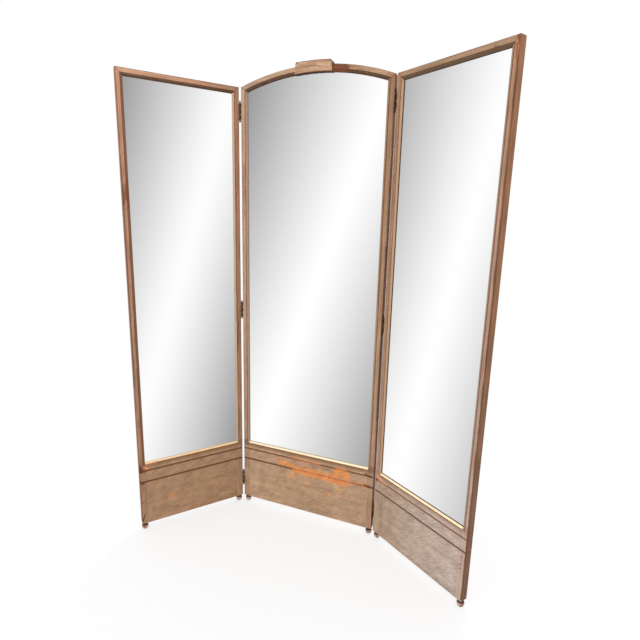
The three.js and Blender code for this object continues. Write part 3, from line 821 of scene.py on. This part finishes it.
def paint_moulding(recipe, panel, grain, places, colour, streak, ragged):
    """The quirk, the bevel and the lip round the mirror, with dirt and painted light and shade."""
    sight = recipe.math("ADD", places.sight, recipe.swing(ragged, 1.6 * MM))
    half = second_half(recipe, panel, grain, places)
    left, right, above, below = LIT_AND_SHADED_BEVELS[panel.name]
    first, second = (left, right) if grain == "upright" else (below, above)
    # The quirk is painted dark, as dirt and as shade in the crease; on the top rail it takes the
    # bevel's painted shade.
    quirk_tone = RED_BROWN if grain == "upright" else recipe.mix(half, RUST, above)
    colour = recipe.paint(colour, quirk_tone, band_mask(recipe, sight, *QUIRK[grain], 0.9 * MM), 0.85)

    # The bevel is painted lit below the plate, and shaded above and on the side turned from the light.
    bevel = recipe.paint(recipe.mix(half, first, second), RUST, recipe.fade(streak, *BEVEL_SEAMS), 0.3)
    on_bevel = recipe.fade(places.sight, BEVEL_WIDTH + 0.3 * MM, BEVEL_WIDTH - 0.5 * MM)
    colour = recipe.paint(colour, bevel, on_bevel, 0.95)

    # Painted shade on the lip, inside the opening behind the bevel.
    dirt_and_shade = LIP_SHADE[panel.name]
    start, end = (dirt_and_shade[0], dirt_and_shade[1]) if grain == "upright" else (dirt_and_shade[3], dirt_and_shade[2])
    in_opening = recipe.fade(places.sight, *IN_OPENING)
    lip = recipe.math("MULTIPLY", in_opening, recipe.fade(places.y, *LIP_BACK))
    return recipe.paint(colour, DEEP_SHADE, lip, recipe.math("MULTIPLY_ADD", half, end - start, start))


def paint_grooves(recipe, panel, places, colour, ragged):
    """A soft shade under the mirror, and dirt in the two grooves across the boards."""
    under = band_mask(recipe, places.z, *UNDER_MIRROR, 9 * MM)
    across = recipe.fade(places.sight, BEVEL_WIDTH - 1.5 * MM, BEVEL_WIDTH + 2.5 * MM)
    under = recipe.math("MULTIPLY", under, across)
    colour = recipe.paint(colour, UNDER_TONE, under, UNDER_SHADE[panel.name])
    height = recipe.math("ADD", places.z, recipe.swing(ragged, 2 * MM))
    for level, dirt_and_shade in zip((LOWER_GROOVE, UPPER_GROOVE), GROOVES[panel.name]):
        off = recipe.math("ABSOLUTE", recipe.math("SUBTRACT", height, level))
        inside = recipe.fade(off, GROOVE_HALF + MM, GROOVE_HALF - 0.9 * MM)
        colour = recipe.paint(colour, dirt_and_shade, inside, 0.92)
    return colour


def scratches(recipe, places, size):
    """Fine scratches that run up to the right across a board, round zero."""
    turned = recipe.node("ShaderNodeMapping")
    turned.inputs["Rotation"].default_value = (0, SCRATCH_TILT, 0)
    recipe.feed(turned.inputs["Vector"], places.point)
    return recipe.swing(recipe.noise(turned.outputs[0], SCRATCH, 5.0, 0.7), size)


def limed_wood(panel, part):
    grain = "upright" if part.endswith("stile") else "across"
    kind = "board" if part == "board" else grain
    material, recipe, shader = new_finish(f"limed_wood_{panel.name}_{part}")
    places = find_places(recipe, panel)

    def figure(sizes, *shape):
        return recipe.noise(places.point, stretched(grain, sizes), *shape)

    fibre = figure(FIBRE, 2.0)
    streak = figure(STREAK, 4.0, 0.6, 0.4)
    seam = figure(SEAM, 3.0, 0.6, 0.3)
    cloud = figure(BOARD_CLOUD if part == "board" else CLOUD, 5.0, 0.6)
    fine = figure(FINE, 3.0, 0.7)
    ragged = figure(RAGGED[grain], 6.0, 0.7)

    # The coat changes slowly along each piece. Clouds, streaks and a fine speckle break it up.
    along = places.z if grain == "upright" else places.x
    length = STILE_HEIGHT if grain == "upright" else panel.width
    stops = list(zip(COAT_STOPS, COATS[panel.name][part]))
    tone = recipe.ramp(recipe.math("DIVIDE", along, length), stops)
    light = 1.0
    for noise, size in zip((cloud, streak, fine), SHADES[kind]):
        light = recipe.math("ADD", light, recipe.swing(noise, size))
    if part == "board":
        light = recipe.math("ADD", light, scratches(recipe, places, 1.3))
    tinge = recipe.fade(figure(TINGE, 3.0, 0.6), *TINGES)
    tinge = recipe.vector("ADD", recipe.vector("SCALE", TINGE_CHANGE, scale=tinge), OLIVE_TINGE)
    coat = recipe.vector("MULTIPLY", recipe.vector("SCALE", tone, scale=light), tinge)

    # It is thin over pores and over the redder seams of the wood.
    colour = recipe.paint(coat, UMBER, recipe.fade(fibre, *PORES), 0.25)
    colour = recipe.paint(colour, RUST, recipe.fade(seam, *SEAMS), THIN_COAT[kind])

    # The arrises are rubbed through to a reddish brown.
    rubbed = recipe.math("MULTIPLY_ADD", ragged, *RUBBED)
    arris = recipe.math("SUBTRACT", places.edge, rubbed)
    edge_wear = recipe.math("MULTIPLY", recipe.fade(arris, *ARRIS), 0.85)
    if grain == "upright":
        below_top = recipe.fade(places.z, STILE_HEIGHT, STILE_HEIGHT - 4 * MM)
        edge_wear = recipe.math("MULTIPLY", edge_wear, below_top)
    colour = recipe.mix(edge_wear, colour, RED_BROWN)

    colour = paint_grooves(recipe, panel, places, colour, ragged)
    colour = paint_moulding(recipe, panel, grain, places, colour, streak, ragged)
    for mark in marks_of(panel, part):
        colour = add_mark(recipe, places, colour, ragged, mark, light)

    # The outer side is painted darker than the face, and the back never had the second coat. The
    # edges between two panels are painted dark as the shade in the narrow gap, lighter near the top.
    behind = recipe.fade(places.y, *BEHIND_FACE)
    side = recipe.math("MULTIPLY", recipe.fade(places.edge, *AT_EDGE), behind)
    side_tone = recipe.mix(recipe.fade(places.z, 0, STILE_HEIGHT), *SIDE_TONES[panel.name])
    colour = recipe.paint(colour, recipe.vector("SCALE", side_tone, scale=light), side, 0.95)
    wood = recipe.ramp(streak, list(zip(WOOD_STOPS, BARE_WOOD)))
    plain = recipe.mix(recipe.math("MULTIPLY_ADD", cloud, 0.5, 0.1), wood, coat)
    colour = recipe.paint(colour, plain, recipe.fade(places.y, *AT_BACK), 0.85)
    inner = recipe.fade(places.joint, *AT_EDGE)
    inner = recipe.math("MULTIPLY", inner, recipe.fade(places.y, *IN_JOINT))
    dirt_and_shade = recipe.mix(recipe.fade(places.z, *JOINT_BROWN), *JOINT_SHADE_TONES)
    colour = recipe.paint(colour, dirt_and_shade, inner, 0.95)

    relief = recipe.math("ADD", fibre, recipe.math("MULTIPLY", streak, 1.5))
    relief = recipe.math("ADD", relief, recipe.math("MULTIPLY", edge_wear, -0.6))
    roughness = recipe.math("MULTIPLY_ADD", fibre, *ROUGHNESS)
    surface(recipe, shader, colour, roughness, relief, WOOD_RELIEF)
    shader.inputs["Specular IOR Level"].default_value = WOOD_GLOSS
    return material


# %% [markdown]
# The crest is a block with its grain bent round the arch. Its top corners are chipped down to the
# dark wood. Its foot, ends, sides and back are painted dark as shade, and a pale streak on its
# face is a painted highlight.

# %% The crest's finish
CREST_RISE = 13 * MM
CREST_GLOSS = 0.35
# Painted shade: the tone on the crest's ends, sides and back, and the height of its darker foot
CREST_SIDE_SHADE = (112, 72, 48)
CREST_FOOT_SHADE = (3 * MM - TOP_RAIL, 1.5 * MM - TOP_RAIL)
CREST_CROWN = (CREST_RISE - 2 * MM, CREST_RISE - MM)
CREST_BACK = (-4.4 * MM, -3 * MM)
CREST_WOOD = [(0.3, (128, 92, 66)), (0.5, (164, 127, 100)), (0.68, (196, 162, 134))]
CREST_CHIPS_AND_LIGHT = [
    ((236, 1868), (244, 1867), 6.5, DARK_UMBER, 0.97, 0.3, 0.5),
    ((376, 1869), (385, 1864), 6, DARK_UMBER, 0.97, 0.3, 0.5),
    # Painted shade on the right end face
    ((386, 1858), (387, 1836), 3, RED_BROWN, 0.85, 0.4, 0.8),
    ((238, 1846), (240, 1838), 4, OCHRE, 0.6, 0.6),
    # A painted highlight across the face
    ((330, 1852), (372, 1846), 6, (206, 176, 152), 0.6),
    ((260, 1836), (300, 1838), 5, (168, 124, 94), 0.6, 1.0),
]


def crest_wood(panel):
    material, recipe, shader = new_finish("limed_wood_crest")
    places = find_places(recipe, panel)
    down = recipe.math("SUBTRACT", places.sight, TOP_RAIL)
    bent = recipe.fill(recipe.node("ShaderNodeCombineXYZ"), places.x, places.y, down)
    fibre = recipe.noise(bent, (14, 1100, 1100), 2.0)
    streak = recipe.noise(bent, (7, 150, 190), 3.0, 0.6, 0.4)
    ragged = recipe.noise(places.point, (150, 150, 150), 3.0, 0.6)
    colour = recipe.ramp(streak, CREST_WOOD)
    colour = recipe.paint(colour, RUST, recipe.fade(fibre, 0.46, 0.34), 0.3)
    # Painted shade along the foot of the crest
    colour = recipe.paint(colour, UMBER, recipe.fade(down, *CREST_FOOT_SHADE), 0.8)
    colour = recipe.paint(colour, RED_BROWN, recipe.fade(down, *CREST_CROWN), 0.8)
    # Painted shade on the ends, sides and back of the crest
    colour = recipe.paint(colour, CREST_SIDE_SHADE, recipe.fade(places.y, *CREST_BACK), 0.8)
    for row in CREST_CHIPS_AND_LIGHT:
        colour = add_mark(recipe, places, colour, ragged, Mark(*row), 1.0)
    roughness = recipe.math("MULTIPLY_ADD", fibre, *ROUGHNESS)
    surface(recipe, shader, colour, roughness, recipe.math("ADD", fibre, streak), WOOD_RELIEF)
    shader.inputs["Specular IOR Level"].default_value = CREST_GLOSS
    return material


# %% [markdown]
# ## Hidden timber, plates and brass

# %% Softwood, backs, plates and brass
SILVER = (254, 254, 254)
FOXING = (150, 140, 128)
FOXED_RIM = 9 * MM
SAWN = [(0.3, (168, 128, 84)), (0.6, (206, 172, 126))]
PLY = [(0.3, (112, 76, 48)), (0.5, (142, 102, 68)), (0.7, (166, 126, 88))]
BRASS_STOPS = (0.36, 0.52, 0.7)
FOOT_WOOD = (146, 104, 80)
FOOT_COAT = (216, 182, 158)
FOOT_LINE = (13.5 * MM, 15 * MM)
# Heights of the painted shadow on the neck under the stile, and of the painted shade on the sole
FOOT_NECK_SHADOW = (15.5 * MM, 19 * MM)
FOOT_SOLE_SHADE = (8 * MM, 4.5 * MM)


def softwood():
    material, recipe, shader = new_finish("sawn_softwood")
    rings = recipe.noise(recipe.place(), (90, 90, 3), 4.0, 0.6, 0.8)
    colour = recipe.ramp(rings, SAWN)
    surface(recipe, shader, colour, 0.8, rings, 0.3 * MM)
    return material


def back_ply(panel):
    material, recipe, shader = new_finish(f"back_ply_{panel.name}")
    places = find_places(recipe, panel)
    figure = recipe.noise(places.point, (26, 26, 2.4), 5.0, 0.62, 1.4)
    fibre = recipe.noise(places.point, (900, 900, 16), 2.0)
    colour = recipe.ramp(figure, PLY)
    colour = recipe.paint(colour, UMBER, recipe.fade(fibre, 0.5, 0.34), 0.4)
    surface(recipe, shader, colour, 0.75, fibre, 0.15 * MM)
    return material


def mirror_plate(panel):
    material, recipe, shader = new_finish(f"mirror_plate_{panel.name}")
    places = find_places(recipe, panel)
    haze = recipe.noise(places.point, (260, 260, 260), 3.0, 0.7)
    rim = recipe.fade(places.sight, -FOXED_RIM, 0)
    foxed = recipe.math("MULTIPLY", recipe.fade(haze, 0.62, 0.72), rim)
    recipe.feed(shader.inputs["Base Color"], recipe.mix(foxed, SILVER, FOXING))
    recipe.feed(shader.inputs["Roughness"], recipe.math("MULTIPLY", foxed, 0.3))
    shader.inputs["Metallic"].default_value = 1.0
    return material


def old_brass(name, tones):
    material, recipe, shader = new_finish(name)
    patina = recipe.noise(recipe.place(), (240, 240, 180), 4.0, 0.65)
    colour = recipe.ramp(patina, list(zip(BRASS_STOPS, tones)))
    surface(recipe, shader, colour, recipe.math("MULTIPLY_ADD", patina, -0.25, 0.6), patina, 0.2 * MM)
    shader.inputs["Metallic"].default_value = 0.75
    return material


def turned_foot_paint():
    material, recipe, shader = new_finish("limed_turned_foot")
    point = recipe.place()
    worn = recipe.noise(point, (120, 120, 60), 4.0, 0.65)
    fibre = recipe.noise(point, (900, 900, 30), 2.0)
    height = recipe.math("ADD", recipe.split(point)[2], recipe.swing(worn, 4 * MM))
    colour = recipe.mix(recipe.fade(worn, 0.4, 0.6), FOOT_WOOD, FOOT_COAT)
    colour = recipe.paint(colour, RUST, recipe.fade(fibre, 0.48, 0.34), 0.4)
    colour = recipe.paint(colour, RED_BROWN, band_mask(recipe, height, *FOOT_LINE, 1.2 * MM), 0.6)
    # Painted shadow on the neck under the stile, and painted shade on the sole
    colour = recipe.paint(colour, DEEP_SHADE, recipe.fade(height, *FOOT_NECK_SHADOW), 0.97)
    colour = recipe.paint(colour, DARK_UMBER, recipe.fade(height, *FOOT_SOLE_SHADE), 0.95)
    surface(recipe, shader, colour, 0.5, fibre, 0.2 * MM)
    return material


BRASS = {
    "left": old_brass("worn_brass", ((62, 44, 28), (112, 84, 56), (160, 128, 88))),
    "right": old_brass("dark_old_brass", ((36, 22, 13), (72, 46, 28), (140, 104, 62))),
}
SOFTWOOD = softwood()
FOOT_PAINT = turned_foot_paint()


def dress(thing, material):
    """Gives an object one finish all over."""
    thing.data.materials.clear()
    thing.data.materials.append(material)


for panel in PANELS:
    dress(frame["nodes"][f"{panel.name}_back_panel"], back_ply(panel))
    dress(frame["nodes"][f"{panel.name}_mirror"], mirror_plate(panel))
for node, solid in frame["nodes"].items():
    if node.endswith(("packing_strip", "board_batten")):
        dress(solid, SOFTWOOD)

# %% [markdown]
# ## Wood and brass with true corners
#
# The solids arrive as loose triangles with hard shading. A copy of each is welded, its flat faces
# are made whole again, and its round parts are shaded smooth: the rounded arrises, the arch, the
# hinge knuckles. Weighted normals keep the flat faces flat beside them.

# %% Soft copies of the solids
WELD = 0.02 * MM
SMOOTH_ANGLE = radians(35)
FLAT_ANGLE = radians(0.5)


def pick(thing):
    """Makes one object the only selected one."""
    bpy.ops.object.select_all(action="DESELECT")
    thing.select_set(True)
    bpy.context.view_layer.objects.active = thing


def soften(thing):
    """Smooth shading on the round parts only."""
    pick(thing)
    bpy.ops.object.shade_smooth_by_angle(angle=SMOOTH_ANGLE)
    bpy.ops.object.modifier_add(type="WEIGHTED_NORMAL")
    thing.modifiers[-1].keep_sharp = True
    bpy.ops.object.modifier_apply(modifier=thing.modifiers[-1].name)


def fair_copy(node, material):
    """A welded, smoothly shaded copy that stands for a CAD node."""
    piece = bpy.data.objects.new(f"{node}_fair", frame["nodes"][node].data.copy())
    bpy.context.scene.collection.objects.link(piece)
    pick(piece)
    bpy.ops.mesh.customdata_custom_splitnormals_clear()
    bpy.ops.object.mode_set(mode="EDIT")
    bpy.ops.mesh.select_all(action="SELECT")
    bpy.ops.mesh.remove_doubles(threshold=WELD)
    bpy.ops.mesh.dissolve_limited(angle_limit=FLAT_ANGLE)
    bpy.ops.object.mode_set(mode="OBJECT")
    soften(piece)
    dress(piece, material)
    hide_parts(node)
    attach(piece, BODY_OF[node])
    return piece


BOARDS = ("lower_rail", "middle_board", "apron_board")
fair = []
for panel in PANELS:
    for part in COATS[panel.name]:
        finish = limed_wood(panel, part)
        endings = BOARDS if part == "board" else (part,)
        fair += [fair_copy(f"{panel.name}_{ending}", finish) for ending in endings]
fair.append(fair_copy("centre_crest_block", crest_wood(CENTRE)))
for node in frame["nodes"]:
    if node.endswith(("leaf", "hinge_pin")):
        fair.append(fair_copy(node, BRASS[node.split("_")[0]]))
print("fair copies:", len(fair))

# %% [markdown]
# ## Turned feet
#
# A foot is turned on a lathe: a ball on a small sole, a waisted neck, and a shoulder that meets
# the stile. Its finish paints the neck dark as the shadow under the stile, and the sole dark as
# shade. The same outline is walked here from the sole up, one ring at a time, each ring pulled
# out of the last and scaled to its radius.

# %% A turned foot
FOOT_SIDES = 40
BALL_RADIUS = 13.4 * MM
SOLE_RADIUS = 7 * MM
NECK_RADIUS = 8 * MM
BEAD_RADIUS = 9.6 * MM
SHOULDER_RADIUS = 10.5 * MM
BALL_TOP = 24 * MM
SHOULDER_HEIGHT = 28 * MM
FOOT_TOP = 29.7 * MM
BALL_STEPS = 14


def ball_profile():
    """Rings of the ball, from the sole to the neck."""
    low = -acos(SOLE_RADIUS / BALL_RADIUS)
    high = acos(NECK_RADIUS / BALL_RADIUS)
    rings = []
    for step in range(BALL_STEPS + 1):
        angle = low + (high - low) * step / BALL_STEPS
        squash = sin(-low) if angle < 0 else sin(high)
        rings.append((BALL_RADIUS * cos(angle), BALL_TOP / 2 * (1 + sin(angle) / squash)))
    return rings


def neck_profile():
    """A bead above the neck, then the shoulder."""
    return [
        (NECK_RADIUS, BALL_TOP + 0.6 * MM),
        (BEAD_RADIUS - 0.3 * MM, BALL_TOP + 1.2 * MM),
        (BEAD_RADIUS, BALL_TOP + 1.9 * MM),
        (BEAD_RADIUS - 0.5 * MM, BALL_TOP + 2.7 * MM),
        (SHOULDER_RADIUS - 0.4 * MM, SHOULDER_HEIGHT - 0.4 * MM),
        (SHOULDER_RADIUS, SHOULDER_HEIGHT),
        (SHOULDER_RADIUS, FOOT_TOP),
    ]


def turn_on_lathe(name, rings, sides):
    """A closed turned piece about Z. Its rings are (radius, height) from the bottom up."""
    radius, height = rings[0]
    bpy.ops.object.select_all(action="DESELECT")
    start = (0, 0, height)
    bpy.ops.mesh.primitive_circle_add(vertices=sides, radius=radius, fill_type="NGON", location=start)
    thing = bpy.context.object
    thing.name = name
    bpy.ops.object.transform_apply(location=True)
    bpy.ops.object.mode_set(mode="EDIT")
    bpy.ops.mesh.select_all(action="SELECT")
    for next_radius, next_height in rings[1:]:
        bpy.ops.mesh.extrude_region_move(TRANSFORM_OT_translate={"value": (0, 0, next_height - height)})
        grown = next_radius / radius
        bpy.ops.transform.resize(value=(grown, grown, 1), center_override=(0, 0, next_height))
        radius, height = next_radius, next_height
    bpy.ops.mesh.select_all(action="SELECT")
    bpy.ops.mesh.normals_make_consistent(inside=False)
    bpy.ops.object.mode_set(mode="OBJECT")
    return thing


def copy_of(pattern, name, place):
    """A copy of a modelled piece, with its own mesh moved to its place."""
    copy = bpy.data.objects.new(name, pattern.data.copy())
    copy.data.transform(place)
    bpy.context.scene.collection.objects.link(copy)
    return copy


foot = turn_on_lathe("foot_pattern", ball_profile() + neck_profile(), FOOT_SIDES)
soften(foot)
dress(foot, FOOT_PAINT)
feet = []
for node in [node for node in frame["nodes"] if node.endswith("_foot")]:
    middle = middle_of(node)
    piece = copy_of(foot, f"{node}_turned", Matrix.Translation((middle.x, middle.y, 0)))
    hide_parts(node)
    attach(piece, BODY_OF[node])
    feet.append(piece)
bpy.data.objects.remove(foot)
print("feet:", len(feet), "faces each:", len(feet[0].data.polygons))

# %% [markdown]
# ## Hinge screws
#
# Each leaf is held by three countersunk screws with a straight slot. The head is turned like the
# feet, then two cuts across its face free a narrow strip, which is pushed in to make the slot.

# %% A slotted screw
SCREW_HEAD = 3.15 * MM
SCREW_SHANK = 1.7 * MM
SCREW_TIP = 0.51 * MM
SCREW_TAPER = 2 * MM
SCREW_SIDES = 20
SCREW_LENGTH = 6 * MM
COUNTERSINK = 1.2 * MM
SLOT_HALF = 0.4 * MM
SLOT_DEPTH = 0.6 * MM
SLOT_SHORTEN = 0.8


def select_faces(thing, chosen):
    """In edit mode, selects only the faces whose middle passes a test."""
    bpy.ops.mesh.select_mode(type="FACE")
    bpy.ops.mesh.select_all(action="DESELECT")
    bpy.ops.object.mode_set(mode="OBJECT")
    for face in thing.data.polygons:
        face.select = chosen(face.center)
    bpy.ops.object.mode_set(mode="EDIT")


def on_top(middle):
    return middle.z > -0.01 * MM


def between_cuts(middle):
    return on_top(middle) and abs(middle.y) < SLOT_HALF / 2


def slotted_screw():
    """A screw about Z with its face at z = 0 and its shank below."""
    rings = [
        (SCREW_TIP, -SCREW_LENGTH),
        (SCREW_SHANK, -SCREW_LENGTH + SCREW_TAPER),
        (SCREW_SHANK, -COUNTERSINK - 0.2 * MM),
        (SCREW_HEAD, -0.15 * MM),
        (SCREW_HEAD - 0.15 * MM, 0),
    ]
    screw = turn_on_lathe("screw_pattern", rings, SCREW_SIDES)
    pick(screw)
    bpy.ops.object.mode_set(mode="EDIT")
    for side in (-SLOT_HALF, SLOT_HALF):
        select_faces(screw, on_top)
        bpy.ops.mesh.bisect(plane_co=(0, side, 0), plane_no=(0, 1, 0))
    select_faces(screw, between_cuts)
    bpy.ops.mesh.extrude_region_move(TRANSFORM_OT_translate={"value": (0, 0, -SLOT_DEPTH)})
    bpy.ops.transform.resize(value=(SLOT_SHORTEN, 1, 1), center_override=(0, 0, -SLOT_DEPTH))
    bpy.ops.object.mode_set(mode="OBJECT")
    soften(screw)
    return screw


# %% [markdown]
# The screws sit in the countersunk holes of the leaves. A leaf's place follows from its pin and
# from the panel that it is let into: the fixed leaf lies on the centre panel's edge, the moving
# leaf on the wing's, and their faces look at each other across the joint.

# %% Screws in every leaf
LEAF_INNER = 2.2 * MM
SCREW_BACK = 13.25 * MM
SCREW_STAGGER = 3 * MM
SCREW_ROWS = (-22 * MM, 0, 22 * MM)
HEAD_SUNK = 0.1 * MM
TURN_STEP = radians(67)


def screw_places(pin, panel, side):
    """Where the three screws of a leaf go, with their slots turned every way."""
    hinge = Matrix.Translation(middle_of(pin)) @ Matrix.Rotation(panel.turn, 4, "Z")
    places = []
    for row, height in enumerate(SCREW_ROWS):
        back = SCREW_BACK + (SCREW_STAGGER if row == 1 else -SCREW_STAGGER)
        spot = Matrix.Translation((side * (LEAF_INNER + HEAD_SUNK), back, height))
        facing = Matrix.Rotation(-side * pi / 2, 4, "Y")
        slot_turn = Matrix.Rotation(TURN_STEP * (row + 1) * (2 + side), 4, "Z")
        places.append(hinge @ spot @ facing @ slot_turn)
    return places


pattern = slotted_screw()
screws = []
for wing, outward, hand in ((LEFT_WING, -1, "left"), (RIGHT_WING, 1, "right")):
    for level in ("top", "middle", "bottom"):
        pin = f"{hand}_{level}_hinge_pin"
        for leaf, panel, side in (("fixed", CENTRE, -outward), ("moving", wing, outward)):
            for row, place in enumerate(screw_places(pin, panel, side)):
                screw = copy_of(pattern, f"{hand}_{level}_{leaf}_screw_{row + 1}", place)
                dress(screw, BRASS[hand])
                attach(screw, panel.body)
                screws.append(screw)
bpy.data.objects.remove(pattern)
print("screws:", len(screws))

# %% [markdown]
# ## Pins round the backs
#
# Thin ply backs are held by small round-headed pins, a hand's breadth apart, all round the edge.
# They are placed on a line inside the panel's outline, and on the arched panel that line bends
# with the arch.

# %% Back pins
PIN_INSET = 13 * MM
PIN_PITCH = 150 * MM
PIN_HEAD = 2.2 * MM
PIN_BROW = 1.87 * MM
PIN_SHANK = 0.99 * MM
PIN_RIM = 0.05 * MM
PIN_SHOULDER = 0.54 * MM
PIN_DOME = 0.9 * MM
PIN_FOOT = 3 * MM
PIN_SIDES = 12


def evenly(start, end, pitch):
    """Places from start to end, both included, about a pitch apart."""
    count = max(1, round(abs(end - start) / pitch))
    return [start + (end - start) * step / count for step in range(count + 1)]


def panel_box(node, panel):
    """The lowest and highest corner of a CAD node in its panel's frame."""
    into_panel = panel_matrix(panel).inverted()
    corners = [into_panel @ vertex.co for vertex in frame["nodes"][node].data.vertices]
    low = Vector(min(corner[axis] for corner in corners) for axis in range(3))
    high = Vector(max(corner[axis] for corner in corners) for axis in range(3))
    return low, high


def pin_spots(panel, bottom):
    """Across and up: both sides, the bottom, and along the top."""
    left, right = PIN_INSET, panel.width - PIN_INSET
    if panel.arch:
        middle = STILE_HEIGHT + ARCH_RISE - panel.arch
        radius = panel.arch - PIN_INSET
        half = asin((right - left) / 2 / radius)
        angles = evenly(-half, half, PIN_PITCH / radius)
        centre = panel.width / 2
        top_row = [(centre + radius * sin(angle), middle + radius * cos(angle)) for angle in angles]
    else:
        top = STILE_HEIGHT - PIN_INSET
        top_row = [(x, top) for x in evenly(left, right, PIN_PITCH)]
    corner = top_row[0][1]
    sides = [(x, z) for x in (left, right) for z in evenly(bottom, corner, PIN_PITCH)[:-1]]
    bottom_row = [(x, bottom) for x in evenly(left, right, PIN_PITCH)[1:-1]]
    return sides + bottom_row + top_row


PIN_RINGS = [
    (PIN_SHANK, -PIN_FOOT),
    (PIN_SHANK, 0),
    (PIN_HEAD, PIN_RIM),
    (PIN_BROW, PIN_SHOULDER),
    (PIN_SHANK, PIN_DOME),
]
pattern = turn_on_lathe("pin_pattern", PIN_RINGS, PIN_SIDES)
soften(pattern)
dress(pattern, BRASS["right"])
facing_back = Matrix.Rotation(-pi / 2, 4, "X")
for panel in PANELS:
    low, high = panel_box(f"{panel.name}_back_panel", panel)
    pins = []
    for x, z in pin_spots(panel, low.z + PIN_INSET / 2):
        place = panel_matrix(panel) @ Matrix.Translation((x, high.y, z)) @ facing_back
        pins.append(copy_of(pattern, f"{panel.name}_pin_{len(pins)}", place))
    count = len(pins)
    pick(pins[0])
    for pin in pins:
        pin.select_set(True)
    bpy.ops.object.join()
    joined = bpy.context.object
    joined.name = f"{panel.name}_back_pins"
    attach(joined, panel.body)
    print(joined.name, "has", count, "pins")
bpy.data.objects.remove(pattern)

# %% [markdown]
# In the photograph each plate shows its own frame's edge and the room, and the right plate shows
# nothing of the left wing. Mirror rays therefore pass the left wing's pieces.

# %% What the mirrors see
for thing in bpy.context.scene.objects:
    if thing.type == "MESH" and LEFT_WING.body in (body_of(thing) or []):
        thing.visible_glossy = False
